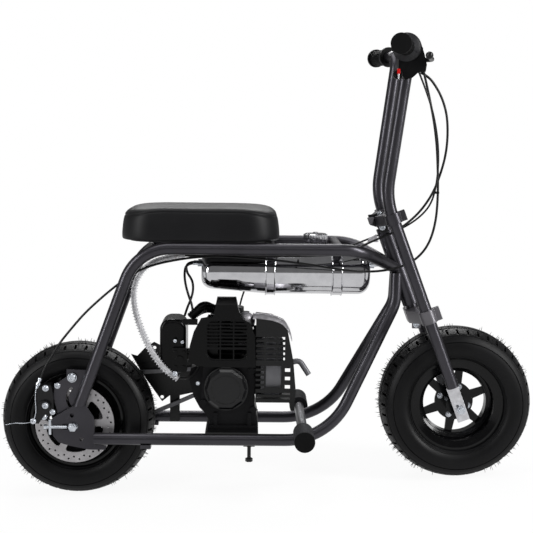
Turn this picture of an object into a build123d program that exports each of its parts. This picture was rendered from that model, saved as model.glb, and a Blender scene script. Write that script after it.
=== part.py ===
from build123d import *
from math import asin, atan2, cos, degrees, pi, radians, sin, sqrt, tan
import os

# A small motorised two-wheeler: twin-loop tube frame, straight fork, rope-start engine.
# Lengths are millimetres and angles degrees. +X is forward, +Y the left side, +Z up.
# The origin is the middle of the seat's top, where the rider sits.
# Frame coordinates (u, y, w) start at the rear axle: u runs forward along the rails,
# w runs square to them. The rails slope down a little towards the front.

# Wheels and stance
TYRE_R = 165.0
TYRE_HALF_WIDTH = 62.5
TYRE_BEAD_R = 84.0
TREAD_BLOCKS = 44
TREAD_GROOVE_Y = 16.0
TREAD_GROOVE_DEPTH = 4.0
TREAD_NOTCH_DEPTH = 10.5
WHEELBASE = 821.4
NOSE_DOWN = 2.862
RIM_LIP_R = 100.0
RIM_LIP_Y = 44.0
RIM_WELL_R = 72.0
RIM_WALL = 3.5
WEB_T = 6.0
HUB_R = 24.0
HUB_HALF = 46.0
HUB_FLANGE_R = 42.0
SPOKES = 6
SPOKE_ROOT_W = 25.0
SPOKE_SIDE_ANGLE = 86.0
AXLE_R = 6.0

# Frame tubes
TUBE_R = 12.7
TUBE_Y = 101.0
RAIL_W = -24.5
TOP_W = 380.0
STAY_U = 14.0
STAY_LEAN = 20.1
STAY_BEND_R = 99.0
RAIL_BEND_R = 146.0
PLATE_Y = 94.0
PLATE_T = 4.0
PLATE_TOP_W = 46.0
PLATE_FRONT_U = 45.0

# Seat: a tapered cushion with a crowned top
SEAT_U = 268.0
SEAT_TOP_W = 474.0
SEAT_LENGTH = 320.0
SEAT_WIDTH = 212.0
SEAT_PAN_T = 4.0
SEAT_PAN_INSET = 8.0
SEAT_CORNER_R = 66.0
SEAT_CROWN = 10.0
SEAT_TAPER = 4.0
SEAT_EDGE_R = 7.0

# Steering
HEAD_LEAN = 20.7
STEM_SETBACK = 17.0
STEM_R = 12.7
HEAD_TUBE_R = 18.0
LEG_Y = 96.0
LEG_LOW = 53.0
LEG_BEND = 477.9
LEG_BEND_R = 150.0
BAR_Y = 104.0
BAR_CORNER_U = 692.0
BAR_BEND_R = 34.0
BAR_W = 792.0
BAR_END_Y = 230.0
BAR_SWEEP = 33.6
CLAMP_BELOW_BEND = 44.9
UPPER_CLAMP_S = LEG_BEND - CLAMP_BELOW_BEND
UPPER_CLAMP_H = 22.0
LOWER_CLAMP_S = 214.0
LOWER_CLAMP_H = 28.0
CLAMP_WALL = 4.5
BEARING_GAP_LOW = 8.0
BEARING_GAP_HIGH = 10.0
HEAD_TUBE_LOW = LOWER_CLAMP_S + LOWER_CLAMP_H / 2 + BEARING_GAP_LOW
HEAD_TUBE_HIGH = UPPER_CLAMP_S - UPPER_CLAMP_H / 2 - BEARING_GAP_HIGH
GRIP_R = 17.0
GRIP_LENGTH = 84.0
GRIP_END_R = 20.5
THROTTLE_FLANGE_R = 29.0

# Chain drive, 9.525 mm pitch
PITCH = 9.525
ROLLER_R = 2.54
REAR_TEETH = 48
DRIVE_TEETH = 10
CHAIN_Y = 76.0
CHAIN_LINKS = 100
CHAIN_RISE = 14.1
SPROCKET_T = 3.6
CHAIN_PLATE_T = 1.4
CHAIN_PLATE_H = 4.3

# Brake
DISC_R = 83.9
DISC_T = 3.5
DISC_Y = 72.1
DISC_RING = 22.2
DISC_HOLES = 42
CARRIER_R = 32.0

# Engine: u and y places are those of the crankshaft, the cylinder and the muffler
CRANK_U = 322.0
CRANK_W = 81.0
COVER_R = 45.0
ENGINE_FACE_Y = 95.0
ENGINE_PLATE_T = 4.0
ENGINE_PLATE_LENGTH = 112.0
ENGINE_PLATE_U = 335.0
CASE_TOP_W = 128.0
CASE_RIGHT_Y = 70.0
CASE_LEFT_Y = 48.0
CYLINDER_U = 328.0
CYLINDER_Y = -8.0
CYLINDER_R = 30.0
MUFFLER_U = 419.0
MUFFLER_W = 124.0
MUFFLER_WIDTH = 48.0
MUFFLER_HEIGHT = 124.0
AIR_BOX_REAR_U = 180.0
AIR_BOX_FRONT_U = 236.0
AIR_BOX_LOW_W = 108.0
AIR_BOX_TOP_W = 225.0
AIR_BOX_FACE_Y = 64.0

# Cross tubes, and the fuel tank that hangs from them
CROSS_R = 9.0
CROSS_W = TOP_W + 3
TANK_R = 48.5
TANK_DROP = 2.0
TANK_W = CROSS_W - CROSS_R - TANK_DROP - TANK_R
TANK_REAR_U = 266.0
TANK_LENGTH = 363.0
TANK_END_R = 26.0

FIT = 0.3
os.makedirs("parts", exist_ok=True)

# Places worked out from the driving sizes
SLOPE = radians(NOSE_DOWN)
ALONG = Vector(cos(SLOPE), 0, -sin(SLOPE))
UPRIGHT = Vector(sin(SLOPE), 0, cos(SLOPE))
REAR_AXLE = ALONG * -SEAT_U + UPRIGHT * -SEAT_TOP_W
FRONT_AXLE = REAR_AXLE + Vector(WHEELBASE, 0, 0)
LEFT = Vector(0, 1, 0)
HEAD_ANGLE = radians(HEAD_LEAN)
STEER_OUT = ALONG * cos(HEAD_ANGLE) + UPRIGHT * sin(HEAD_ANGLE)
STEER_UP = UPRIGHT * cos(HEAD_ANGLE) - ALONG * sin(HEAD_ANGLE)


def at(u, y, w):
    """A point given in frame coordinates."""
    return REAR_AXLE + ALONG * u + UPRIGHT * w + LEFT * y


def side(y):
    """The plane of a side view at a given y: its own x is u and its own y is w."""
    return Plane(origin=at(0, y, 0), x_dir=ALONG, z_dir=-LEFT)


def fork(f, y, s):
    """A point given along the fork: f ahead of the legs' line, s up from the axle."""
    return FRONT_AXLE + STEER_OUT * f + STEER_UP * s + LEFT * y


def fork_plane(s):
    """The plane square to the steering axis at height s."""
    return Plane(origin=fork(0, 0, s), x_dir=STEER_OUT, z_dir=STEER_UP)


def wheel_section(axle):
    """The plane of a wheel's section: its own x is y and its own y is the radius."""
    return Plane(origin=axle, x_dir=LEFT, z_dir=(1, 0, 0))


def wheel_face(axle, y):
    """The plane of a wheel's face at a given y, drawn as seen from the right side."""
    return Plane(origin=axle + LEFT * y, x_dir=(1, 0, 0), z_dir=-LEFT)


def tube(points, radius, bends):
    """A round tube along straight runs joined by tangent arcs."""
    with BuildPart() as made:
        with BuildLine() as route:
            FilletPolyline(*points, radius=bends)
        with BuildSketch(Plane(origin=route.line @ 0, z_dir=route.line % 0)):
            Circle(radius)
        sweep()
    return made.part


def cord_bends(points):
    """The largest arcs that a cord's runs allow, one for each corner."""
    radii = []
    for before, here, after in zip(points, points[1:], points[2:]):
        run_in = Vector(*here) - Vector(*before)
        run_out = Vector(*after) - Vector(*here)
        turn = radians(run_in.get_angle(run_out))
        radii.append(0.45 * min(run_in.length, run_out.length) / tan(turn / 2))
    return radii


def rod(start, end, radius):
    """A straight round bar between two points."""
    axis = end - start
    return Solid.make_cylinder(radius, axis.length, Plane(origin=start, z_dir=axis))


SIDES = (("right", -1), ("left", 1))

# Frame loops: a rear stay and top tube, and a bottom rail and down tube, on each side
stay_tan = tan(radians(STAY_LEAN))
DOWN_FOOT_U = 538.6
DOWN_TOP_U = 685.0
DOWN_TOP_Y = 16.0
DOWN_TOP_W = 257.0
TOP_FRONT_U = 594.0
HEAD_JOIN_W = 334.0
loops = {}
for name, hand in SIDES:
    y = hand * TUBE_Y
    top_route = [
        at(STAY_U - 30 * stay_tan, y, PLATE_TOP_W - 30),
        at(STAY_U + (TOP_W - PLATE_TOP_W) * stay_tan, y, TOP_W),
        at(TOP_FRONT_U, y, TOP_W),
        at(684, hand * 8, HEAD_JOIN_W),
    ]
    with BuildPart() as top_tube:
        add(tube(top_route, TUBE_R, [STAY_BEND_R, 80]))
        with BuildSketch(side(0)):
            with Locations((STAY_U, PLATE_TOP_W - 40)):
                Rectangle(120, 80)
        extrude(amount=200, both=True, mode=Mode.SUBTRACT)
        with BuildSketch(fork_plane(HEAD_TUBE_LOW)):
            with Locations((-STEM_SETBACK, 0)):
                Circle(HEAD_TUBE_R)
        extrude(amount=HEAD_TUBE_HIGH - HEAD_TUBE_LOW, mode=Mode.SUBTRACT)
        with BuildSketch(side(0)):
            with Locations((690, 340)):
                Rectangle(90, 140)
        extrude(amount=hand * 60, mode=Mode.SUBTRACT)
    top_tube.part.label = f"top_tube_{name}"
    export_step(top_tube.part, f"parts/top_tube_{name}.step")

    low_route = [
        at(PLATE_FRONT_U, y, RAIL_W),
        at(DOWN_FOOT_U, y, RAIL_W),
        at(DOWN_TOP_U, hand * DOWN_TOP_Y, DOWN_TOP_W),
        at(687, hand * 9, 322),
    ]
    with BuildPart() as down_tube:
        add(tube(low_route, TUBE_R, [RAIL_BEND_R, 70]))
        add(top_tube.part, mode=Mode.SUBTRACT)
        with BuildSketch(fork_plane(HEAD_TUBE_LOW - 20)):
            with Locations((-STEM_SETBACK, 0)):
                Circle(HEAD_TUBE_R)
        extrude(amount=HEAD_TUBE_HIGH - HEAD_TUBE_LOW, mode=Mode.SUBTRACT)
        with BuildSketch(side(0)):
            with Locations((690, 280)):
                Rectangle(90, 160)
        extrude(amount=hand * 60, mode=Mode.SUBTRACT)
    down_tube.part.label = f"down_tube_{name}"
    export_step(down_tube.part, f"parts/down_tube_{name}.step")
    loops[name] = (top_tube.part, down_tube.part)

with BuildPart() as head_tube:
    with BuildSketch(fork_plane(HEAD_TUBE_LOW)):
        with Locations((-STEM_SETBACK, 0)):
            Circle(HEAD_TUBE_R)
            Circle(STEM_R + FIT, mode=Mode.SUBTRACT)
    extrude(amount=HEAD_TUBE_HIGH - HEAD_TUBE_LOW)
head_tube.part.label = "head_tube"
export_step(head_tube.part, "parts/head_tube.step")

# Rear plates: corners are (u, w); a slot takes the axle
PLATE_OUTLINE = [
    (6, PLATE_TOP_W), (27, PLATE_TOP_W), (44, 21), (PLATE_FRONT_U, 12), (PLATE_FRONT_U, -38),
    (70, -41), (68, -49.5), (32, -49), (-6, -41.5), (-31, -34), (-42, -20), (-45, 15), (-37, 22), (-2, 43),
]
with BuildPart() as rear_plates:
    for name, hand in SIDES:
        with BuildSketch(side(hand * (PLATE_Y + PLATE_T / 2))):
            with BuildLine():
                Polyline(*PLATE_OUTLINE, close=True)
            make_face()
            with Locations((-6, 0)):
                SlotOverall(36, 2 * AXLE_R + FIT * 2, mode=Mode.SUBTRACT)
            with Locations((-2, 24)):
                Circle(4.5, mode=Mode.SUBTRACT)
            with Locations((18, -27)):
                Circle(4.0, mode=Mode.SUBTRACT)
        extrude(amount=PLATE_T / 2, both=True)
rear_plates.part.label = "rear_plates"
export_step(rear_plates.part, "parts/rear_plates.step")

# Cross tubes between the top tubes, and a tab under each rail: places are (u, w)
STRAPS = [(414, 22), (557, 23)]
CROSS_PLACES = [(150, TOP_W - 14), *((u, CROSS_W) for u, width in STRAPS)]
TAB_T = 8.0
with BuildPart() as cross_tubes:
    with BuildSketch(side(0)):
        with Locations(*CROSS_PLACES):
            Circle(CROSS_R)
    extrude(amount=TUBE_Y, both=True)
    for name, hand in SIDES:
        with BuildSketch(side(hand * TUBE_Y)):
            with Locations((154, RAIL_W - TUBE_R - TAB_T / 2 + 2)):
                Rectangle(22, TAB_T)
        extrude(amount=11, both=True)
        add(loops[name][0], mode=Mode.SUBTRACT)
        add(loops[name][1], mode=Mode.SUBTRACT)
cross_tubes.part.label = "cross_tubes"
export_step(cross_tubes.part, "parts/cross_tubes.step")

# Engine mounting plate on top of the rails, with its two clamp bolts
PLATE_FLOOR_W = RAIL_W + TUBE_R
ENGINE_TOP_W = PLATE_FLOOR_W + ENGINE_PLATE_T
CLAMP_BOLT_U = ENGINE_PLATE_U + 37
CLAMP_BOLT_Y = 60.0
CLAMP_BOLT_LENGTH = 64.0
with BuildPart() as engine_plate:
    with BuildSketch(side(0)):
        with Locations((ENGINE_PLATE_U, PLATE_FLOOR_W + ENGINE_PLATE_T / 2)):
            Rectangle(ENGINE_PLATE_LENGTH, ENGINE_PLATE_T)
    extrude(amount=TUBE_Y + 6, both=True)
    for y in (-CLAMP_BOLT_Y, CLAMP_BOLT_Y):
        with BuildSketch(Plane(origin=at(CLAMP_BOLT_U, y, PLATE_FLOOR_W), x_dir=ALONG, z_dir=UPRIGHT)):
            Circle(4)
        extrude(amount=-CLAMP_BOLT_LENGTH)
        with BuildSketch(Plane(origin=at(CLAMP_BOLT_U, y, PLATE_FLOOR_W - CLAMP_BOLT_LENGTH), x_dir=ALONG,
                               z_dir=UPRIGHT)):
            RegularPolygon(8, 6)
        extrude(amount=-7)
        with BuildSketch(Plane(origin=at(CLAMP_BOLT_U, y, RAIL_W - TUBE_R), x_dir=ALONG, z_dir=UPRIGHT)):
            Rectangle(24, 70)
        extrude(amount=-4)
engine_plate.part.label = "engine_plate"
export_step(engine_plate.part, "parts/engine_plate.step")

# Foot pegs on a bar that is notched over the rails, where they start to bend up
PEG_U = 485.0
PEG_BAR_R = 11.0
PEG_NOTCH = 6.7
down_rise = sqrt((DOWN_TOP_W - RAIL_W) ** 2 + (TUBE_Y - DOWN_TOP_Y) ** 2)
down_lean = atan2(down_rise, DOWN_TOP_U - DOWN_FOOT_U)
past_bend = max(0.0, PEG_U - DOWN_FOOT_U + RAIL_BEND_R * tan(down_lean / 2))
rail_climb = RAIL_BEND_R - sqrt(RAIL_BEND_R ** 2 - past_bend ** 2)
PEG_W = (RAIL_W + rail_climb * (DOWN_TOP_W - RAIL_W) / down_rise + TUBE_R + PEG_BAR_R - PEG_NOTCH)
PEG_R = 21.0
PEG_BORE_R = 13.5
PEG_INNER_Y = 120.0
PEG_OUTER_Y = 202.0
with BuildPart() as peg_bar:
    with BuildSketch(side(0)):
        with Locations((PEG_U, PEG_W)):
            Circle(PEG_BAR_R)
    extrude(amount=PEG_OUTER_Y - 14, both=True)
    for name, hand in SIDES:
        add(loops[name][1], mode=Mode.SUBTRACT)
peg_bar.part.label = "peg_bar"
export_step(peg_bar.part, "parts/peg_bar.step")

PEG_GROOVES = 7
with BuildPart() as foot_pegs:
    for name, hand in SIDES:
        start = side(hand * PEG_INNER_Y)
        with BuildSketch(start):
            with Locations((PEG_U, PEG_W)):
                Circle(PEG_R)
        extrude(amount=-hand * (PEG_OUTER_Y - PEG_INNER_Y))
        with BuildSketch(start):
            with Locations((PEG_U, PEG_W)):
                Circle(PEG_BAR_R)
        extrude(amount=-hand * (PEG_OUTER_Y - 14 - PEG_INNER_Y), mode=Mode.SUBTRACT)
        with BuildSketch(side(hand * (PEG_OUTER_Y - 14))):
            with Locations((PEG_U, PEG_W)):
                Circle(PEG_BORE_R)
        extrude(amount=-hand * 14, mode=Mode.SUBTRACT)
        for groove in range(PEG_GROOVES):
            with BuildSketch(side(hand * (PEG_INNER_Y + 8 + groove * 10))):
                with Locations((PEG_U, PEG_W)):
                    Circle(PEG_R + 1)
                    Circle(PEG_R - 1.8, mode=Mode.SUBTRACT)
            extrude(amount=-hand * 3, mode=Mode.SUBTRACT)
foot_pegs.part.label = "foot_pegs"
export_step(foot_pegs.part, "parts/foot_pegs.step")

# Rear axle with its nuts, and the chain adjusters behind it
NUT_R = 9.5
NUT_T = 8.0
HUB_GAP = 4.0
with BuildPart() as rear_axle:
    with BuildSketch(side(0)):
        Circle(AXLE_R)
    extrude(amount=PLATE_Y + PLATE_T + NUT_T + 4, both=True)
    for hand in (-1, 1):
        with BuildSketch(side(hand * (PLATE_Y + PLATE_T))):
            RegularPolygon(NUT_R, 6)
        extrude(amount=-hand * NUT_T)
        with BuildSketch(side(hand * (HUB_HALF + HUB_GAP))):
            Circle(AXLE_R + 4)
        extrude(amount=-hand * (PLATE_Y - HUB_HALF - HUB_GAP))
rear_axle.part.label = "rear_axle"
export_step(rear_axle.part, "parts/rear_axle.step")

with BuildPart() as chain_adjusters:
    for hand in (-1, 1):
        outer = hand * (PLATE_Y + PLATE_T)
        with BuildSketch(side(outer)):
            with Locations((-47.5, 0)):
                Rectangle(5, 32)
        extrude(amount=-hand * 6)
        with BuildSketch(Plane(origin=at(-54, outer + hand * 4, 0), z_dir=ALONG)):
            Circle(3)
        extrude(amount=42)
        with BuildSketch(Plane(origin=at(-60, outer + hand * 4, 0), z_dir=ALONG)):
            RegularPolygon(6, 6)
        extrude(amount=6)
chain_adjusters.part.label = "chain_adjusters"
export_step(chain_adjusters.part, "parts/chain_adjusters.step")

# Brake caliper and its bracket, on the right
BRACKET_Y = 82.0
BRACKET_T = 5.5
with BuildPart() as caliper_bracket:
    with BuildSketch(side(-BRACKET_Y)):
        with BuildLine():
            Polyline((-39, 88), (-14, 105), (-14, 121), (28, 119), (28, 60), (22, 40), (44, 8), (44, -20),
                     (-20, -20), (-32, 20), (-36, 36), (-42, 60), close=True)
        make_face()
        SlotArc(Edge.make_three_point_arc((-4, 80, 0), (-13, 60, 0), (-5, 39, 0)), 6, mode=Mode.SUBTRACT)
        Circle(AXLE_R + 4 + FIT, mode=Mode.SUBTRACT)
    extrude(amount=BRACKET_T)
    with BuildSketch(side(-BRACKET_Y - BRACKET_T)):
        with Locations((-2, 104)):
            RegularPolygon(9, 6)
    extrude(amount=6)
caliper_bracket.part.label = "caliper_bracket"
export_step(caliper_bracket.part, "parts/caliper_bracket.step")

CALIPER_INNER_Y = 65.0
CALIPER_OUTER_Y = 96.0
DISC_GAP = 1.2
with BuildPart() as brake_caliper:
    with BuildSketch(side(-CALIPER_INNER_Y)):
        with BuildLine():
            Polyline((-78, 60), (-74, 84), (-46, 90), (-42, 66), (-40, 30), (-56, 12), (-76, 16), (-82, 40), close=True)
        make_face()
        fillet(vertices(), 5)
    extrude(amount=CALIPER_OUTER_Y - CALIPER_INNER_Y)
    with BuildSketch(side(-(DISC_Y - DISC_T / 2 - DISC_GAP))):
        Circle(DISC_R + 3)
    extrude(amount=DISC_T + 2 * DISC_GAP, mode=Mode.SUBTRACT)
    add(caliper_bracket.part, mode=Mode.SUBTRACT)
    with BuildSketch(side(-CALIPER_OUTER_Y)):
        with Locations((-59, 43)):
            Circle(13)
    extrude(amount=8)
    with BuildSketch(side(-CALIPER_OUTER_Y)):
        with BuildLine():
            Polyline((-62, 50), (-50, 38), (-72, 6), (-86, 8), (-86, 14), close=True)
        make_face()
    extrude(amount=4)
brake_caliper.part.label = "brake_caliper"
export_step(brake_caliper.part, "parts/brake_caliper.step")

# Seat pan and cushion
tubes_top_w = TOP_W + TUBE_R
with BuildPart() as seat_pan:
    with BuildSketch(Plane(origin=at(SEAT_U, 0, tubes_top_w), x_dir=ALONG, z_dir=UPRIGHT)):
        RectangleRounded(SEAT_LENGTH - 2 * SEAT_PAN_INSET, SEAT_WIDTH - 2 * SEAT_PAN_INSET,
                         SEAT_CORNER_R - SEAT_PAN_INSET)
    extrude(amount=SEAT_PAN_T)
seat_pan.part.label = "seat_pan"
export_step(seat_pan.part, "parts/seat_pan.step")

cushion_low = tubes_top_w + SEAT_PAN_T + FIT
crown_r = (SEAT_WIDTH ** 2 / 4 + SEAT_CROWN ** 2) / (2 * SEAT_CROWN)
with BuildPart() as seat_cushion:
    with BuildSketch(Plane(origin=at(SEAT_U, 0, cushion_low), x_dir=ALONG, z_dir=UPRIGHT)):
        RectangleRounded(SEAT_LENGTH, SEAT_WIDTH, SEAT_CORNER_R)
    extrude(amount=SEAT_TOP_W - cushion_low, taper=SEAT_TAPER)
    with BuildSketch(Plane(origin=at(SEAT_U, 0, SEAT_TOP_W - crown_r), x_dir=LEFT, z_dir=ALONG)):
        Circle(crown_r)
    extrude(amount=SEAT_LENGTH, both=True, mode=Mode.INTERSECT)
    fillet(seat_cushion.faces().sort_by(Axis(at(SEAT_U, 0, 0), UPRIGHT))[-1].edges(), SEAT_EDGE_R)
seat_cushion.part.label = "seat_cushion"
export_step(seat_cushion.part, "parts/seat_cushion.step")

# Fuel tank: a round shell with rounded ends, its straps, its cap and its fittings
STRAP_T = 1.6
CAP_U = 511.0
NECK_R = 20.0
NECK_H = 10.0
tank_top_w = TANK_W + TANK_R
with BuildPart() as fuel_tank:
    with BuildSketch(Plane(origin=at(TANK_REAR_U, 0, TANK_W), z_dir=ALONG)):
        Circle(TANK_R)
    extrude(amount=TANK_LENGTH)
    fillet(fuel_tank.edges(), TANK_END_R)
    with BuildSketch(Plane(origin=at(CAP_U, 0, TANK_W), x_dir=ALONG, z_dir=UPRIGHT)):
        Circle(NECK_R)
    extrude(amount=TANK_R + NECK_H)
fuel_tank.part.label = "fuel_tank"
export_step(fuel_tank.part, "parts/fuel_tank.step")

with BuildPart() as tank_straps:
    for u, width in STRAPS:
        with BuildSketch(Plane(origin=at(u - width / 2, 0, TANK_W), x_dir=LEFT, z_dir=ALONG)):
            Circle(TANK_R + STRAP_T)
            with Locations((0, TANK_R + TANK_DROP / 2)):
                Rectangle(30, TANK_DROP + 4)
            Circle(TANK_R, mode=Mode.SUBTRACT)
        extrude(amount=width)
    add(cross_tubes.part, mode=Mode.SUBTRACT)
tank_straps.part.label = "tank_straps"
export_step(tank_straps.part, "parts/tank_straps.step")

CAP_R = 26.0
CAP_H = 22.0
CAP_FLUTES = 24
with BuildPart() as tank_cap:
    with BuildSketch(Plane(origin=at(CAP_U, 0, tank_top_w + NECK_H), x_dir=ALONG, z_dir=UPRIGHT)):
        Circle(CAP_R)
        with PolarLocations(CAP_R + 0.8, CAP_FLUTES):
            Circle(2.0, mode=Mode.SUBTRACT)
    extrude(amount=CAP_H)
    with BuildSketch(Plane(origin=at(CAP_U, 0, tank_top_w + NECK_H + CAP_H), x_dir=ALONG, z_dir=UPRIGHT)):
        Circle(CAP_R - 2)
    extrude(amount=2, taper=40)
    with BuildSketch(Plane(origin=at(CAP_U, 0, tank_top_w + NECK_H + CAP_H), x_dir=ALONG, z_dir=UPRIGHT)):
        Circle(5)
    extrude(amount=5)
tank_cap.part.label = "tank_cap"
export_step(tank_cap.part, "parts/tank_cap.step")

FITTING_W = TANK_W + 16.5
FITTING_Y = 14.0
with BuildPart() as tank_fittings:
    with BuildSketch(Plane(origin=at(TANK_REAR_U + TANK_LENGTH, 0, FITTING_W), x_dir=LEFT, z_dir=ALONG)):
        Circle(9)
    extrude(amount=10)
    with BuildSketch(Plane(origin=at(TANK_REAR_U + TANK_LENGTH + 10, 0, FITTING_W), x_dir=LEFT, z_dir=ALONG)):
        Circle(5)
    extrude(amount=12)
    for y in (-FITTING_Y, FITTING_Y):
        with BuildSketch(Plane(origin=at(TANK_REAR_U, y, FITTING_W), x_dir=LEFT, z_dir=-ALONG)):
            RegularPolygon(7, 6)
        extrude(amount=8)
        with BuildSketch(Plane(origin=at(TANK_REAR_U - 8, y, FITTING_W), x_dir=LEFT, z_dir=-ALONG)):
            Circle(3.5)
        extrude(amount=10)
tank_fittings.part.label = "tank_fittings"
export_step(tank_fittings.part, "parts/tank_fittings.step")

# Engine: the crankcase has a flared foot and an arm that carries the carburettor's side
CASE_FOOT_T = 8.0
CASE_FOOT_OUT = 9.0
ARM_RIGHT_Y = 47.0
with BuildPart() as crankcase:
    with BuildSketch(side(-CASE_RIGHT_Y)):
        with BuildLine():
            Polyline((274, CASE_TOP_W), (270, 84), (268, 40), (287, 8), (284, ENGINE_TOP_W), (388, ENGINE_TOP_W),
                     (389, 8), (383, 42), (383, 100), (376, CASE_TOP_W), close=True)
        make_face()
    extrude(amount=-(CASE_RIGHT_Y + CASE_LEFT_Y))
    with BuildSketch(side(-ARM_RIGHT_Y)):
        with BuildLine():
            Polyline((280, CASE_TOP_W), (246, 118), (241, 97), (252, 55), (265, 31), (290, 5), close=True)
        make_face()
    extrude(amount=-(ARM_RIGHT_Y + CASE_LEFT_Y))
    with BuildSketch(side(-CASE_RIGHT_Y - CASE_FOOT_OUT)):
        with Locations((ENGINE_PLATE_U + 1, ENGINE_TOP_W + CASE_FOOT_T / 2)):
            Rectangle(ENGINE_PLATE_LENGTH - 6, CASE_FOOT_T)
    extrude(amount=-(CASE_RIGHT_Y + CASE_LEFT_Y + 2 * CASE_FOOT_OUT))
    with BuildSketch(side(-CASE_RIGHT_Y)):
        with Locations((274, 48), (376, 118), (380, 34)):
            Circle(7)
        with Locations((300, 12), (372, 12)):
            Rectangle(8, 30)
    extrude(amount=5)
crankcase.part.label = "crankcase"
export_step(crankcase.part, "parts/crankcase.step")

FIN_COUNT = 8
FIN_STEP = 13.0
FIN_T = 3.0
FIN_LENGTH = 84.0
FIN_WIDTH = 92.0
CYLINDER_TOP_W = CASE_TOP_W + FIN_STEP * FIN_COUNT + 14
with BuildPart() as cylinder:
    with BuildSketch(Plane(origin=at(CYLINDER_U, CYLINDER_Y, CASE_TOP_W), x_dir=ALONG, z_dir=UPRIGHT)):
        Circle(CYLINDER_R)
    extrude(amount=CYLINDER_TOP_W - CASE_TOP_W)
    for fin in range(FIN_COUNT):
        fin_w = CASE_TOP_W + 8 + fin * FIN_STEP
        with BuildSketch(Plane(origin=at(CYLINDER_U, CYLINDER_Y, fin_w), x_dir=ALONG, z_dir=UPRIGHT)):
            RectangleRounded(FIN_LENGTH, FIN_WIDTH, 12)
        extrude(amount=FIN_T)
cylinder.part.label = "cylinder"
export_step(cylinder.part, "parts/cylinder.step")

# Fan shroud: a moulded cover with a louvred window, a top hood and a wing beside the carburettor
SHROUD_BACK_Y = 60.0
SHROUD_FACE_Y = 90.0
SHROUD_WALL = 4.0
HOOD_TOP_W = 275.0
HOOD_FOLD_W = 260.0
WINDOW_U = 323.5
WINDOW_W = 187.0
WINDOW_LENGTH = 89.0
WINDOW_HEIGHT = 88.0
WINDOW_CORNER_R = 18.0
WINDOW_DEPTH = 2.0
LOUVRES = 8
LOUVRE_STEP = 7.4
LOUVRE_GAP = 4.2
LOUVRE_LOW_W = 173.0
WINDOW_RIB = 3.0
with BuildPart() as fan_shroud:
    with BuildSketch(side(-SHROUD_BACK_Y)):
        with BuildLine():
            Polyline((274, CASE_TOP_W + FIT), (384, CASE_TOP_W + FIT), (384, 142), (382, 198), (371, 222), (351, 237),
                     (342, HOOD_TOP_W), (302, HOOD_TOP_W), (294, 236), (281, 230), (274, 214), close=True)
        make_face()
    extrude(amount=SHROUD_FACE_Y - SHROUD_BACK_Y)
    with BuildSketch(side(-SHROUD_FACE_Y + 20)):
        with BuildLine():
            Polyline((262, 130), (243, 140), (245, 173), (253, 202), (268, 230), (290, 234), (290, 130), close=True)
        make_face()
    extrude(amount=20)
    with BuildSketch(side(-SHROUD_BACK_Y)):
        with BuildLine():
            Polyline((298, CYLINDER_TOP_W + FIT), (303, HOOD_TOP_W), (341, HOOD_TOP_W), (347, CYLINDER_TOP_W + FIT),
                     close=True)
        make_face()
    extrude(amount=-SHROUD_BACK_Y + CYLINDER_Y - CYLINDER_R + 8)
    with BuildSketch(side(-SHROUD_BACK_Y)):
        with Locations((WINDOW_U, WINDOW_W - 7)):
            Rectangle(WINDOW_LENGTH + 4, WINDOW_HEIGHT + 6)
    extrude(amount=SHROUD_FACE_Y - SHROUD_BACK_Y - SHROUD_WALL, mode=Mode.SUBTRACT)
    with BuildSketch(side(-SHROUD_FACE_Y + WINDOW_DEPTH)):
        with Locations((WINDOW_U, WINDOW_W)):
            RectangleRounded(WINDOW_LENGTH, WINDOW_HEIGHT, WINDOW_CORNER_R)
    extrude(amount=WINDOW_DEPTH, mode=Mode.SUBTRACT)
    with BuildSketch(side(-SHROUD_BACK_Y)):
        for louvre in range(LOUVRES):
            with Locations((WINDOW_U, LOUVRE_LOW_W + louvre * LOUVRE_STEP)):
                Rectangle(WINDOW_LENGTH, LOUVRE_GAP)
        with Locations((WINDOW_U, LOUVRE_LOW_W - 17)):
            Rectangle(WINDOW_LENGTH, 20)
        with Locations((WINDOW_U - 14, WINDOW_W), (WINDOW_U + 14, WINDOW_W)):
            Rectangle(WINDOW_RIB, WINDOW_HEIGHT, mode=Mode.SUBTRACT)
        with Locations((WINDOW_U, WINDOW_W)):
            RectangleRounded(WINDOW_LENGTH - 6, WINDOW_HEIGHT - 6, WINDOW_CORNER_R - 3, mode=Mode.INTERSECT)
    extrude(amount=SHROUD_FACE_Y - SHROUD_BACK_Y, mode=Mode.SUBTRACT)
    with BuildSketch(Plane(origin=at(WINDOW_U, 0, 0), x_dir=LEFT, z_dir=ALONG)):
        with BuildLine():
            Polyline((-SHROUD_FACE_Y - 1, HOOD_FOLD_W), (-SHROUD_FACE_Y - 1, HOOD_TOP_W + 1),
                     (-SHROUD_FACE_Y + 14, HOOD_TOP_W + 1), close=True)
        make_face()
    extrude(amount=60, both=True, mode=Mode.SUBTRACT)
fan_shroud.part.label = "fan_shroud"
export_step(fan_shroud.part, "parts/fan_shroud.step")

with BuildPart() as starter_cover:
    with BuildSketch(side(-CASE_RIGHT_Y)):
        with Locations((CRANK_U, CRANK_W)):
            Circle(COVER_R + 2)
    extrude(amount=14)
    with BuildSketch(side(-CASE_RIGHT_Y - 14)):
        with Locations((CRANK_U, CRANK_W)):
            RegularPolygon(COVER_R, 10)
    extrude(amount=ENGINE_FACE_Y - CASE_RIGHT_Y - 14)
    chamfer(starter_cover.faces().sort_by(Axis.Y)[0].edges(), 5)
    with BuildSketch(side(-ENGINE_FACE_Y)):
        with Locations((CRANK_U, CRANK_W)):
            Circle(COVER_R - 14)
            Circle(COVER_R - 15.5, mode=Mode.SUBTRACT)
    extrude(amount=-0.8, mode=Mode.SUBTRACT)
starter_cover.part.label = "starter_cover"
export_step(starter_cover.part, "parts/starter_cover.step")

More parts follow.
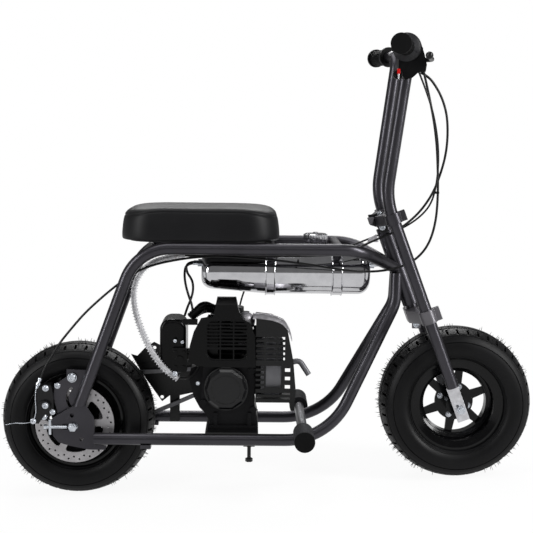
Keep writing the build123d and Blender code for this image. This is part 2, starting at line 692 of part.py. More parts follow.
PORT_W = 170.0
with BuildPart() as muffler:
    with BuildSketch(side(4)):
        with Locations((MUFFLER_U, MUFFLER_W)):
            RectangleRounded(MUFFLER_WIDTH, MUFFLER_HEIGHT, 14)
    extrude(amount=78)
    fillet(muffler.faces().sort_by(Axis.Y)[0].edges(), 6)
    add(tube([at(MUFFLER_U + 15, -50, 126), at(478, -56, 138), at(498, -60, 108)], 6, [12]))
    with BuildSketch(Plane(origin=at(CYLINDER_U + 12, CYLINDER_Y, PORT_W), x_dir=LEFT, z_dir=ALONG)):
        RectangleRounded(46, 30, 8)
    extrude(amount=60)
    add(cylinder.part, mode=Mode.SUBTRACT)
muffler.part.label = "muffler"
export_step(muffler.part, "parts/muffler.step")

# Muffler guard: a moulded shell, open to the engine, with slots in its face
GUARD_U0 = 384.5
GUARD_U1 = 468.0
GUARD_BACK_Y = 10.0
GUARD_FACE_Y = 84.0
GUARD_WALL = 4.0
GUARD_SLOTS = 5
with BuildPart() as muffler_guard:
    with BuildSketch(side(GUARD_BACK_Y)):
        with BuildLine():
            Polyline((GUARD_U0, 52), (GUARD_U1 - 11, 52), (GUARD_U1 - 9, 35), (GUARD_U1 - 2, 35), (GUARD_U1 + 2, 77),
                     (GUARD_U1 - 4, 142), (GUARD_U1 - 17, 208), (GUARD_U1 - 28, 219), (GUARD_U1 - 50, 228),
                     (GUARD_U0, 232), close=True)
        make_face()
    extrude(amount=GUARD_BACK_Y + GUARD_FACE_Y)
    with BuildSketch(side(GUARD_BACK_Y)):
        with BuildLine():
            Polyline((GUARD_U0 - 5, 56), (GUARD_U1 - 7, 56), (GUARD_U1 - 3, 77), (GUARD_U1 - 8, 141),
                     (GUARD_U1 - 21, 205), (GUARD_U1 - 31, 215), (GUARD_U1 - 51, 224), (GUARD_U0 - 5, 228), close=True)
        make_face()
    extrude(amount=GUARD_BACK_Y + GUARD_FACE_Y - GUARD_WALL, mode=Mode.SUBTRACT)
    with BuildSketch(side(-GUARD_FACE_Y + 2 * GUARD_WALL)):
        for slot in range(GUARD_SLOTS):
            with Locations((393, 146 + 11 * slot)):
                Rectangle(18, 6)
            with Locations((417, 146 + 11 * slot)):
                Rectangle(22, 6)
            with Locations((439, 146 + 11 * slot)):
                Rectangle(14, 6)
        with Locations((393, 128), (393, 117), (393, 106), (393, 95), (393, 84)):
            Rectangle(18, 6)
        with Locations((423, 108)):
            Rectangle(34, 46)
        with Locations((452, 122), (452, 104), (452, 86)):
            Rectangle(11, 8)
        with Locations((422, 71), (422, 61.5)):
            Rectangle(72, 4.5)
    extrude(amount=2 * GUARD_WALL, mode=Mode.SUBTRACT)
    add(muffler.part, mode=Mode.SUBTRACT)
muffler_guard.part.label = "muffler_guard"
export_step(muffler_guard.part, "parts/muffler_guard.step")

with BuildPart() as heat_shield:
    with BuildSketch(side(40)):
        with BuildLine():
            Polyline((347.6, 253), (362, 249), (380, 236.5), (440, 226.5), (460, 212), (464, 214.5), (442, 230.5),
                     (382, 240.5), (364, 253), (346.5, 257), close=True)
        make_face()
    extrude(amount=112)
heat_shield.part.label = "heat_shield"
export_step(heat_shield.part, "parts/heat_shield.step")

# Air box with its top lip, and the carburettor between it and the cylinder
air_box_height = AIR_BOX_TOP_W - AIR_BOX_LOW_W
with BuildPart() as air_box:
    with BuildSketch(side(20)):
        with Locations(((AIR_BOX_REAR_U + AIR_BOX_FRONT_U) / 2, AIR_BOX_LOW_W + air_box_height / 2)):
            RectangleRounded(AIR_BOX_FRONT_U - AIR_BOX_REAR_U, air_box_height, 22)
    extrude(amount=AIR_BOX_FACE_Y + 20)
    fillet(air_box.faces().sort_by(Axis.Y)[0].edges(), 8)
    with BuildSketch(side(-50)):
        with Locations((AIR_BOX_FRONT_U, AIR_BOX_TOP_W - 6)):
            Rectangle(48, 12)
    extrude(amount=8)
air_box.part.label = "air_box"
export_step(air_box.part, "parts/air_box.step")

CARB_U = 264.0
CARB_Y = -55.0
CARB_LOW_W = 129.0
CARB_W = 150.0
with BuildPart() as carburettor:
    with BuildSketch(side(-40)):
        with Locations((CARB_U - 1, CARB_W)):
            Rectangle(22, 34)
    extrude(amount=30)
    with BuildSketch(Plane(origin=at(AIR_BOX_FRONT_U + FIT, CARB_Y, CARB_W), z_dir=ALONG)):
        Circle(13)
    extrude(amount=CARB_U + 9 - AIR_BOX_FRONT_U)
    with BuildSketch(Plane(origin=at(CARB_U, CARB_Y, CARB_LOW_W), z_dir=UPRIGHT)):
        Circle(11)
    extrude(amount=51)
    with BuildSketch(side(-AIR_BOX_FACE_Y - FIT)):
        with Locations((AIR_BOX_FRONT_U - 13, 140)):
            RectangleRounded(32, 52, 5)
    extrude(amount=7)
    with BuildSketch(side(-AIR_BOX_FACE_Y - 7)):
        with Locations((214, 156), (232, 156), (214, 124), (232, 124)):
            Circle(4)
        with Locations((AIR_BOX_FRONT_U - 13, 140)):
            Circle(9)
    extrude(amount=4)
carburettor.part.label = "carburettor"
export_step(carburettor.part, "parts/carburettor.step")

with BuildPart() as plug_cap:
    add(tube([at(CYLINDER_U - CYLINDER_R + 2, -20, 239), at(272, -30, 254), at(244, -40, 226)], 9, [16]))
    add(cylinder.part, mode=Mode.SUBTRACT)
    add(fan_shroud.part, mode=Mode.SUBTRACT)
plug_cap.part.label = "plug_cap"
export_step(plug_cap.part, "parts/plug_cap.step")

# Chain run: the two sprockets' centre distance is the one that holds a whole number of links
REAR_PITCH_R = PITCH / 2 / sin(pi / REAR_TEETH)
DRIVE_PITCH_R = PITCH / 2 / sin(pi / DRIVE_TEETH)
reach = 330.0
for step in range(30):
    dip = asin((REAR_PITCH_R - DRIVE_PITCH_R) / reach)
    links = (2 * reach * cos(dip) / PITCH + REAR_TEETH * (0.5 + dip / pi) + DRIVE_TEETH * (0.5 - dip / pi))
    reach += (CHAIN_LINKS - links) * PITCH / 2
DRIVE_U = reach * cos(radians(CHAIN_RISE))
DRIVE_W = reach * sin(radians(CHAIN_RISE))
run = reach * cos(dip) / PITCH
rear_wrap = REAR_TEETH * (0.5 + dip / pi)
drive_wrap = DRIVE_TEETH * (0.5 - dip / pi)


def chain_point(place):
    """The pin at a place counted in links, from where the top run leaves the rear sprocket."""
    top = radians(CHAIN_RISE) + pi / 2 - dip
    low = radians(CHAIN_RISE) - pi / 2 + dip
    if place < run:
        start = (REAR_PITCH_R * cos(top), REAR_PITCH_R * sin(top))
        way = (cos(top - pi / 2), sin(top - pi / 2))
        return (start[0] + way[0] * place * PITCH, start[1] + way[1] * place * PITCH)
    place -= run
    if place < drive_wrap:
        turn = top - place * 2 * pi / DRIVE_TEETH
        return (DRIVE_U + DRIVE_PITCH_R * cos(turn), DRIVE_W + DRIVE_PITCH_R * sin(turn))
    place -= drive_wrap
    if place < run:
        start = (DRIVE_U + DRIVE_PITCH_R * cos(low), DRIVE_W + DRIVE_PITCH_R * sin(low))
        way = (cos(low - pi / 2), sin(low - pi / 2))
        return (start[0] + way[0] * place * PITCH, start[1] + way[1] * place * PITCH)
    place -= run
    turn = low - place * 2 * pi / REAR_TEETH
    return (REAR_PITCH_R * cos(turn), REAR_PITCH_R * sin(turn))


def sprocket_outline(teeth, first_pin, tooth_height):
    """A toothed disc: round gaps for the chain's rollers, with one gap at the angle first_pin."""
    pitch_r = PITCH / 2 / sin(pi / teeth)
    Circle(pitch_r + tooth_height)
    with PolarLocations(pitch_r, teeth, start_angle=first_pin):
        Circle(ROLLER_R + 0.55, mode=Mode.SUBTRACT)


CLUTCH_R = 40.0
pin_on_drive = chain_point(float(int(run) + 2))
DRIVE_PHASE = degrees(atan2(pin_on_drive[1] - DRIVE_W, pin_on_drive[0] - DRIVE_U))
REAR_PHASE = degrees(radians(CHAIN_RISE) + pi / 2 - dip)
with BuildPart() as clutch:
    with BuildSketch(side(48)):
        with Locations((DRIVE_U, DRIVE_W)):
            Circle(CLUTCH_R)
    extrude(amount=-20)
    with BuildSketch(side(68)):
        with Locations((DRIVE_U, DRIVE_W)):
            Circle(9)
    extrude(amount=-14)
    with BuildSketch(side(CHAIN_Y - SPROCKET_T / 2)):
        with Locations((DRIVE_U, DRIVE_W)):
            sprocket_outline(DRIVE_TEETH, DRIVE_PHASE, 0.6)
    extrude(amount=-SPROCKET_T)
clutch.part.label = "clutch"
export_step(clutch.part, "parts/clutch.step")

def chain_loop(grow):
    """The chain's closed run, grown outwards by a distance."""
    top = radians(CHAIN_RISE) + pi / 2 - dip
    low = radians(CHAIN_RISE) - pi / 2 + dip
    middle = radians(CHAIN_RISE)
    rear_r = REAR_PITCH_R + grow
    drive_r = DRIVE_PITCH_R + grow
    rear_top = (rear_r * cos(top), rear_r * sin(top))
    rear_low = (rear_r * cos(low), rear_r * sin(low))
    drive_top = (DRIVE_U + drive_r * cos(top), DRIVE_W + drive_r * sin(top))
    drive_low = (DRIVE_U + drive_r * cos(low), DRIVE_W + drive_r * sin(low))
    Line(rear_top, drive_top)
    ThreePointArc(drive_top, (DRIVE_U + drive_r * cos(middle), DRIVE_W + drive_r * sin(middle)), drive_low)
    Line(drive_low, rear_low)
    ThreePointArc(rear_low, (-rear_r * cos(middle), -rear_r * sin(middle)), rear_top)


CHAIN_INNER_HALF = SPROCKET_T / 2 + 0.6
with BuildPart() as chain:
    for inner in (CHAIN_INNER_HALF, -CHAIN_INNER_HALF - CHAIN_PLATE_T):
        with BuildSketch(side(CHAIN_Y - inner)):
            for grow, mode in ((CHAIN_PLATE_H, Mode.ADD), (-CHAIN_PLATE_H, Mode.SUBTRACT)):
                with BuildLine():
                    chain_loop(grow)
                make_face(mode=mode)
        extrude(amount=CHAIN_PLATE_T)
    with BuildSketch(side(CHAIN_Y - CHAIN_INNER_HALF)):
        with Locations(*[chain_point(link) for link in range(CHAIN_LINKS)]):
            RegularPolygon(ROLLER_R, 6)
    extrude(amount=-2 * CHAIN_INNER_HALF)
chain.part.label = "chain"
export_step(chain.part, "parts/chain.step")

# Chain guard on the left: corners are (u, w)
GUARD_PLATE_Y = 83.0
with BuildPart() as chain_guard:
    with BuildSketch(side(GUARD_PLATE_Y + 3)):
        with BuildLine():
            Polyline((104, 122), (118, 118), (135, 136), (156, 150), (176, 140), (300, 128), (362, 120), (362, 40),
                     (240, 34), (214, 28), (214, -32), (192, -32), (192, 28), (174, 14), (160, 34), (128, 80), close=True)
        make_face()
        with Locations((157, 137)):
            Circle(4, mode=Mode.SUBTRACT)
        with Locations((174, 24)):
            Circle(4, mode=Mode.SUBTRACT)
    extrude(amount=3)
    with BuildSketch(side(TUBE_Y)):
        with Locations((203, RAIL_W)):
            Rectangle(22, 12)
    extrude(amount=TUBE_Y - GUARD_PLATE_Y)
    add(loops["left"][1], mode=Mode.SUBTRACT)
chain_guard.part.label = "chain_guard"
export_step(chain_guard.part, "parts/chain_guard.step")

# Steering: one bent tube on each side makes the fork leg, the upright and the bar
with BuildPart() as stem:
    with BuildSketch(fork_plane(LOWER_CLAMP_S - LOWER_CLAMP_H / 2)):
        with Locations((-STEM_SETBACK, 0)):
            Circle(STEM_R)
    extrude(amount=UPPER_CLAMP_S + UPPER_CLAMP_H / 2 - LOWER_CLAMP_S + LOWER_CLAMP_H / 2)
stem.part.label = "stem"
export_step(stem.part, "parts/stem.step")

fork_tubes = {}
bar_corners = {}
for name, hand in SIDES:
    corner = at(BAR_CORNER_U, hand * BAR_Y, BAR_W)
    tip = at(BAR_CORNER_U - BAR_SWEEP, hand * BAR_END_Y, BAR_W + 2.6)
    with BuildPart() as fork_tube:
        add(tube([fork(0, hand * LEG_Y, LEG_LOW), fork(0, hand * LEG_Y, LEG_BEND), corner, tip],
                 TUBE_R, [LEG_BEND_R, BAR_BEND_R]))
    fork_tube.part.label = f"fork_tube_{name}"
    export_step(fork_tube.part, f"parts/fork_tube_{name}.step")
    fork_tubes[name] = fork_tube.part
    bar_corners[name] = (corner, tip)


def clamp(middle, height, lug_reach):
    """A clamp across the fork legs and the stem, with a lug ahead of each leg."""
    ring = TUBE_R + CLAMP_WALL
    with BuildPart() as made:
        with BuildSketch(fork_plane(middle - height / 2)):
            with BuildLine():
                Polyline((10, -LEG_Y), (-8, -30), (2, 0), (-8, 30), (10, LEG_Y), (-10, LEG_Y),
                         (-STEM_SETBACK - 19, 22), (-STEM_SETBACK - 19, -22), (-10, -LEG_Y), close=True)
            make_face()
            with Locations((0, -LEG_Y), (0, LEG_Y)):
                Circle(ring)
            with Locations((lug_reach / 2, -LEG_Y), (lug_reach / 2, LEG_Y)):
                Rectangle(lug_reach, 12)
            with Locations((-STEM_SETBACK, 0)):
                Circle(STEM_R + 7)
                Circle(STEM_R, mode=Mode.SUBTRACT)
            with Locations((0, -LEG_Y), (0, LEG_Y)):
                Circle(TUBE_R, mode=Mode.SUBTRACT)
            with Locations((lug_reach / 2 + TUBE_R / 2, -LEG_Y), (lug_reach / 2 + TUBE_R / 2, LEG_Y)):
                Rectangle(lug_reach, 2, mode=Mode.SUBTRACT)
        extrude(amount=height)
    return made.part


with BuildPart() as upper_clamp:
    add(clamp(UPPER_CLAMP_S, UPPER_CLAMP_H, 27))
    for name, hand in SIDES:
        add(fork_tubes[name], mode=Mode.SUBTRACT)
upper_clamp.part.label = "upper_clamp"
export_step(upper_clamp.part, "parts/upper_clamp.step")

with BuildPart() as lower_clamp:
    add(clamp(LOWER_CLAMP_S, LOWER_CLAMP_H, 27))
lower_clamp.part.label = "lower_clamp"
export_step(lower_clamp.part, "parts/lower_clamp.step")

with BuildPart() as grips:
    for name, hand in SIDES:
        corner, tip = bar_corners[name]
        outward = (tip - corner).normalized()
        face = Plane(origin=tip - outward * (GRIP_LENGTH - 2), z_dir=outward)
        flange_r = THROTTLE_FLANGE_R if hand < 0 else 22
        with BuildSketch(face):
            Circle(flange_r)
            Circle(TUBE_R, mode=Mode.SUBTRACT)
        extrude(amount=5)
        with BuildSketch(face.offset(5)):
            Circle(GRIP_R)
            Circle(TUBE_R, mode=Mode.SUBTRACT)
        extrude(amount=GRIP_LENGTH - 7)
        with BuildSketch(face.offset(GRIP_LENGTH - 5)):
            Circle(GRIP_END_R)
            Circle(TUBE_R, mode=Mode.SUBTRACT)
        extrude(amount=3)
        with BuildSketch(face.offset(GRIP_LENGTH - 2)):
            Circle(GRIP_END_R)
        extrude(amount=4)
grips.part.label = "grips"
export_step(grips.part, "parts/grips.step")

HOUSING_Y = 112.0
HOUSING_T = 28.0
with BuildPart() as throttle_housing:
    with BuildSketch(side(-HOUSING_Y)):
        with BuildLine():
            Polyline((665, 792), (665, 748), (679, 729), (694, 734), (706, 745), (720, 746), (722, 760), (717, 780),
                     (708, 806), (690, 816), (672, 810), close=True)
        make_face()
    extrude(amount=HOUSING_T)
    add(fork_tubes["right"], mode=Mode.SUBTRACT)
    add(grips.part, mode=Mode.SUBTRACT)
throttle_housing.part.label = "throttle_housing"
export_step(throttle_housing.part, "parts/throttle_housing.step")

with BuildPart() as brake_lever:
    add(tube([at(714, -124, 770), at(731, -146, 770), at(722, -178, 772), at(714, -219, 773)], 5, [10, 40]))
    add(Sphere(7.5, mode=Mode.PRIVATE).moved(Location(at(714, -225, 773))))
    add(throttle_housing.part, mode=Mode.SUBTRACT)
brake_lever.part.label = "brake_lever"
export_step(brake_lever.part, "parts/brake_lever.step")

# Fork ends: flat bars under the legs that carry the front axle
END_Y = 87.0
END_T = 6.0
with BuildPart() as fork_ends:
    for hand in (-1, 1):
        with BuildSketch(Plane(origin=fork(0, hand * END_Y, 0), x_dir=STEER_OUT, z_dir=-LEFT)):
            with Locations((-1, LEG_LOW - 39)):
                Rectangle(25.4, 78)
            Circle(AXLE_R + 0.2, mode=Mode.SUBTRACT)
            with Locations((-4, 10)):
                Circle(3, mode=Mode.SUBTRACT)
        extrude(amount=END_T / 2, both=True)
fork_ends.part.label = "fork_ends"
export_step(fork_ends.part, "parts/fork_ends.step")

with BuildPart() as front_axle:
    with BuildSketch(wheel_face(FRONT_AXLE, 0)):
        Circle(AXLE_R)
    extrude(amount=END_Y + END_T / 2 + NUT_T + 4, both=True)
    for hand in (-1, 1):
        with BuildSketch(wheel_face(FRONT_AXLE, hand * (END_Y + END_T / 2))):
            RegularPolygon(NUT_R, 6)
        extrude(amount=-hand * NUT_T)
        with BuildSketch(wheel_face(FRONT_AXLE, hand * (HUB_HALF + HUB_GAP))):
            Circle(AXLE_R + 4)
        extrude(amount=-hand * (END_Y - END_T / 2 - HUB_HALF - HUB_GAP))
front_axle.part.label = "front_axle"
export_step(front_axle.part, "parts/front_axle.step")


# Wheels
def tyre(axle):
    """A solid ring with bulging sides, two bead rings, and grooves and notches that make its tread."""
    with BuildPart() as made:
        with BuildSketch(wheel_section(axle)):
            with BuildLine():
                Line((-RIM_LIP_Y + 4, TYRE_BEAD_R), (RIM_LIP_Y - 4, TYRE_BEAD_R))
                Line((RIM_LIP_Y - 4, TYRE_BEAD_R), (RIM_LIP_Y - 4, RIM_LIP_R - 4))
                Line((RIM_LIP_Y - 4, RIM_LIP_R - 4), (RIM_LIP_Y, RIM_LIP_R))
                ThreePointArc((RIM_LIP_Y, RIM_LIP_R), (TYRE_HALF_WIDTH - 5, 109), (TYRE_HALF_WIDTH, 124))
                ThreePointArc((TYRE_HALF_WIDTH, 124), (58, 143), (45, 156))
                ThreePointArc((45, 156), (0, TYRE_R), (-45, 156))
                ThreePointArc((-45, 156), (-58, 143), (-TYRE_HALF_WIDTH, 124))
                ThreePointArc((-TYRE_HALF_WIDTH, 124), (-TYRE_HALF_WIDTH + 5, 109), (-RIM_LIP_Y, RIM_LIP_R))
                Line((-RIM_LIP_Y, RIM_LIP_R), (-RIM_LIP_Y + 4, RIM_LIP_R - 4))
                Line((-RIM_LIP_Y + 4, RIM_LIP_R - 4), (-RIM_LIP_Y + 4, TYRE_BEAD_R))
            make_face()
            for hand in (-1, 1):
                with Locations((hand * (RIM_LIP_Y + 6), RIM_LIP_R + 3.4), (hand * (RIM_LIP_Y + 11.5), RIM_LIP_R + 7)):
                    Circle(1.5)
                with Locations((hand * TREAD_GROOVE_Y, TYRE_R - 1)):
                    Rectangle(5, 2 * TREAD_GROOVE_DEPTH, mode=Mode.SUBTRACT)
                with Locations((hand * 50.5, 152.3), (hand * 59.2, 139)):
                    Circle(1.3, mode=Mode.SUBTRACT)
        revolve(axis=Axis(axle, LEFT))
        for hand in (-1, 1):
            with BuildSketch(wheel_face(axle, hand * (TREAD_GROOVE_Y + 10))):
                with PolarLocations(TYRE_R, TREAD_BLOCKS, start_angle=hand * 90 / TREAD_BLOCKS):
                    Rectangle(2 * TREAD_NOTCH_DEPTH, 5)
            extrude(amount=-hand * TYRE_HALF_WIDTH, mode=Mode.SUBTRACT)
    return made.part


def rim(axle):
    """A deep dished rim with a web of six spokes and a hub."""
    with BuildPart() as made:
        with BuildSketch(wheel_section(axle)):
            with BuildLine():
                Polyline((-RIM_LIP_Y, RIM_LIP_R), (-RIM_LIP_Y, RIM_LIP_R - 5), (-RIM_LIP_Y + 4, TYRE_BEAD_R - RIM_WALL),
                         (-18, TYRE_BEAD_R - RIM_WALL - 2), (-12, RIM_WELL_R - RIM_WALL), (12, RIM_WELL_R - RIM_WALL),
                         (18, TYRE_BEAD_R - RIM_WALL - 2), (RIM_LIP_Y - 4, TYRE_BEAD_R - RIM_WALL),
                         (RIM_LIP_Y, RIM_LIP_R - 5), (RIM_LIP_Y, RIM_LIP_R), (RIM_LIP_Y - 4, RIM_LIP_R - 4),
                         (RIM_LIP_Y - 4, TYRE_BEAD_R), (20, TYRE_BEAD_R), (14, RIM_WELL_R), (-14, RIM_WELL_R),
                         (-20, TYRE_BEAD_R), (-RIM_LIP_Y + 4, TYRE_BEAD_R), (-RIM_LIP_Y + 4, RIM_LIP_R - 4), close=True)
            make_face()
        revolve(axis=Axis(axle, LEFT))
        with BuildSketch(wheel_face(axle, -WEB_T / 2)):
            Circle(HUB_FLANGE_R)
            with PolarLocations(0, SPOKES, start_angle=18):
                with Locations((RIM_WELL_R / 2, 0)):
                    Trapezoid(SPOKE_ROOT_W, RIM_WELL_R - 4, SPOKE_SIDE_ANGLE, rotation=-90)
        extrude(amount=-WEB_T)
        with BuildSketch(wheel_face(axle, HUB_HALF)):
            Circle(HUB_R)
        extrude(amount=2 * HUB_HALF)
        with BuildSketch(wheel_face(axle, HUB_HALF)):
            Circle(AXLE_R + FIT)
        extrude(amount=2 * HUB_HALF, mode=Mode.SUBTRACT)
    return made.part


for name, axle in (("front", FRONT_AXLE), ("rear", REAR_AXLE)):
    with BuildPart() as wheel_tyre:
        add(tyre(axle))
    wheel_tyre.part.label = f"tyre_{name}"
    export_step(wheel_tyre.part, f"parts/tyre_{name}.step")
    with BuildPart() as wheel_rim:
        add(rim(axle))
    wheel_rim.part.label = f"rim_{name}"
    export_step(wheel_rim.part, f"parts/rim_{name}.step")

# Brake disc on the right of the rear hub, and the toothed sprocket on its left
with BuildPart() as brake_disc:
    with BuildSketch(wheel_face(REAR_AXLE, -DISC_Y + DISC_T / 2)):
        Circle(DISC_R)
        Circle(DISC_R - DISC_RING, mode=Mode.SUBTRACT)
        with PolarLocations(0, 6):
            with Locations(((DISC_R - DISC_RING) / 2, 0)):
                Rectangle(DISC_R - DISC_RING + 4, 15)
        Circle(CARRIER_R)
        fillet([vertex for vertex in vertices() if Vector(vertex.X, vertex.Y).length < DISC_R - 1], 5)
        Circle(HUB_R - 10, mode=Mode.SUBTRACT)
        for inset, start in ((6.7, 0.0), (12.3, 360 / DISC_HOLES)):
            with PolarLocations(DISC_R - inset, DISC_HOLES // 2, start_angle=start):
                Circle(2.1, mode=Mode.SUBTRACT)
    extrude(amount=DISC_T)
    with BuildSketch(wheel_face(REAR_AXLE, -HUB_HALF)):
        Circle(CARRIER_R)
        Circle(HUB_R - 10, mode=Mode.SUBTRACT)
    extrude(amount=DISC_Y - DISC_T / 2 - HUB_HALF)
brake_disc.part.label = "brake_disc"
export_step(brake_disc.part, "parts/brake_disc.step")

with BuildPart() as rear_sprocket:
    with BuildSketch(wheel_face(REAR_AXLE, CHAIN_Y - SPROCKET_T / 2)):
        sprocket_outline(REAR_TEETH, REAR_PHASE - NOSE_DOWN, 1.5)
        with PolarLocations(48, 6):
            Circle(13, mode=Mode.SUBTRACT)
        Circle(HUB_R - 10, mode=Mode.SUBTRACT)
    extrude(amount=-SPROCKET_T)
    with BuildSketch(wheel_face(REAR_AXLE, HUB_HALF)):
        Circle(CARRIER_R)
        Circle(HUB_R - 10, mode=Mode.SUBTRACT)
    extrude(amount=-(CHAIN_Y - SPROCKET_T / 2 - HUB_HALF))
rear_sprocket.part.label = "rear_sprocket"
export_step(rear_sprocket.part, "parts/rear_sprocket.step")

# Cords: points are (u, y, w)
CABLE_R = 2.5
SLEEVE_R = 5.5
LINE_R = 2.6
CORDS = {
    "brake_cable": (CABLE_R, [
        (718, -128, 745), (737, -114, 680), (752, -97, 612), (759, -82, 548), (763, -68, 490), (761, -60, 435),
        (748, -56, 388), (722, -57, 357), (690, -56, 341), (655, -58, 333), (620, -64, 331), (583, -74, 334),
        (547, -81, 339), (505, -84, 346), (460, -83, 352), (412, -83, 357), (362, -84, 360), (308, -83, 363),
        (258, -83, 361), (218, -83, 355), (180, -83, 347), (147, -83, 336), (119, -83, 320), (90, -84, 299),
        (57, -86, 271), (24, -87, 240), (-4, -89, 207), (-28, -90, 177), (-46, -90, 147), (-62, -89, 121),
        (-70, -89, 95),
    ]),
    "throttle_cable": (CABLE_R, [
        (713, -118, 745), (738, -112, 700), (762, -101, 640), (775, -86, 580), (775, -70, 530), (757, -56, 492),
        (732, -42, 459), (704, -32, 431), (676, -28, 412), (648, -27, 400), (620, -32, 388), (592, -46, 375),
        (560, -60, 367), (516, -70, 365), (468, -73, 364), (420, -72, 363), (368, -69, 363), (315, -66, 362),
        (268, -60, 361), (232, -55, 361),
    ]),
    "kill_wire": (2.0, [
        (706, -136, 747), (732, -130, 690), (750, -116, 625), (757, -104, 568), (756, -88, 515), (750, -60, 474),
        (732, -22, 444), (702, 6, 419), (676, 26, 408), (648, 32, 400), (620, 36, 388), (592, 48, 375),
        (558, 62, 366), (518, 70, 363), (472, 72, 361), (428, 70, 352), (395, 64, 332), (370, 62, 300),
        (354, 63, 262), (345, 63, 222), (338, 60, 184), (331, 50, 152), (325, 41, 129),
    ]),
    "cable_sleeve": (SLEEVE_R, [
        (232, -55, 361), (207, -57, 359), (176, -62, 352), (150, -67, 338), (134, -70, 317), (126, -72, 292),
        (126, -74, 264), (132, -76, 234), (144, -76, 200), (158, -75, 168), (176, -72, 138), (196, -70, 114),
        (218, -66, 99), (241, -60, 98), (257, -56, 110), (264, -55, 128.5),
    ]),
    "fuel_line_front": (LINE_R, [
        (248, -14, 340), (233, -14, 338), (229, -16, 318), (232, -20, 294), (240, -25, 268), (247, -30, 252),
        (249, -35, 236),
    ]),
    "fuel_line_rear": (LINE_R, [
        (248, 14, 340), (232, 14, 338), (232, 13, 318), (246, 8, 300), (248, -1, 278), (242, -8, 258),
        (235, -12, 242), (230, -14, 225.3),
    ]),
}
throttle_end = rod(at(262, -59.2, 361), at(232, -55, 361), CABLE_R)
CORD_ENDS = {
    "brake_cable": [throttle_housing.part, brake_caliper.part],
    "throttle_cable": [throttle_housing.part],
    "kill_wire": [throttle_housing.part],
    "cable_sleeve": [carburettor.part, throttle_end],
    "fuel_line_front": [tank_fittings.part, plug_cap.part],
    "fuel_line_rear": [tank_fittings.part, air_box.part],
}
for name, (radius, points) in CORDS.items():
    route = [at(*point) for point in points]
    bends = cord_bends(route)
    with BuildPart() as cord:
        add(tube(route, radius, bends))
        for neighbour in CORD_ENDS[name]:
            add(neighbour, mode=Mode.SUBTRACT)
    print(name, "length", round(cord.part.volume / (pi * radius ** 2), 1))
    cord.part.label = name
    export_step(cord.part, f"parts/{name}.step")
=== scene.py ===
import random
from math import cos, pi, radians, sin

import bmesh
import bpy
from mathutils import Matrix, Vector


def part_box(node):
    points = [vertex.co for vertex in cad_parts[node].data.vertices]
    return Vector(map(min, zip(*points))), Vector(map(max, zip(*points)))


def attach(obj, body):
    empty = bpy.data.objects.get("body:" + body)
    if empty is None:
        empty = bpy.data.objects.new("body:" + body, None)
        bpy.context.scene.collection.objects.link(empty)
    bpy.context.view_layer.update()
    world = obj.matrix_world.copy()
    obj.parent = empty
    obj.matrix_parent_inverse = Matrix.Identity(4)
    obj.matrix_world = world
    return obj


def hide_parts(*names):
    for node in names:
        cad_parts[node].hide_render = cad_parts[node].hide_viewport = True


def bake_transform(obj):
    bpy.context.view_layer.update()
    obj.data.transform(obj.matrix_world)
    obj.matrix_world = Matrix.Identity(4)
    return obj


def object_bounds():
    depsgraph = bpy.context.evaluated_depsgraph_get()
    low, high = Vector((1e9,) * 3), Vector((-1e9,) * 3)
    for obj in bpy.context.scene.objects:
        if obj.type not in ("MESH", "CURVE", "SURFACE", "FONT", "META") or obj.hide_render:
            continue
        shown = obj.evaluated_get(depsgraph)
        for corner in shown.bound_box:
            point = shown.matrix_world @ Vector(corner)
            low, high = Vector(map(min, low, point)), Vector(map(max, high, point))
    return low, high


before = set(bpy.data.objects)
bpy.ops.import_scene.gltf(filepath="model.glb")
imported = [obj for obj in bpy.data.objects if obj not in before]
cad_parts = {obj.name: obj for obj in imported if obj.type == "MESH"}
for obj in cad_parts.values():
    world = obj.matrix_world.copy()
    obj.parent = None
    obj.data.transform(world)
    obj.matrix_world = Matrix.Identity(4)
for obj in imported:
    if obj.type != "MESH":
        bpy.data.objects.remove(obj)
CAD_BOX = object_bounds()

# Places: frame coordinates (u, y, w) in millimetres start at the rear axle and lean with the rails
MM = 0.001
NOSE_DOWN = radians(2.862)
HEAD_LEAN = radians(20.7)
ALONG = Vector((cos(NOSE_DOWN), 0, -sin(NOSE_DOWN)))
UPRIGHT = Vector((sin(NOSE_DOWN), 0, cos(NOSE_DOWN)))
LEFT = Vector((0, 1, 0))
RIGHT = -LEFT
FORWARD = Vector((1, 0, 0))
SKY = Vector((0, 0, 1))
STEER_OUT = ALONG * cos(HEAD_LEAN) + UPRIGHT * sin(HEAD_LEAN)
STEER_UP = UPRIGHT * cos(HEAD_LEAN) - ALONG * sin(HEAD_LEAN)
SIDES = {"right": -1, "left": 1}


def middle(node):
    """The middle of a CAD node's box."""
    low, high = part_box(node)
    return (low + high) / 2


REAR_AXLE = middle("rim_rear")
FRONT_AXLE = middle("rim_front")
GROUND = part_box("tyre_rear")[0].z


def at(u, y, w):
    """A point given in frame coordinates."""
    return REAR_AXLE + (ALONG * u + LEFT * y + UPRIGHT * w) * MM


def fork(f, y, s):
    """A point given along the fork: f ahead of the legs' line, s up from the axle."""
    return FRONT_AXLE + (STEER_OUT * f + LEFT * y + STEER_UP * s) * MM


# Meshes: edges sharper than the first angle shade hard, and a bevel rounds those sharper than the second
SHARP_ANGLE = radians(38)
EDGE_ANGLE = radians(35)


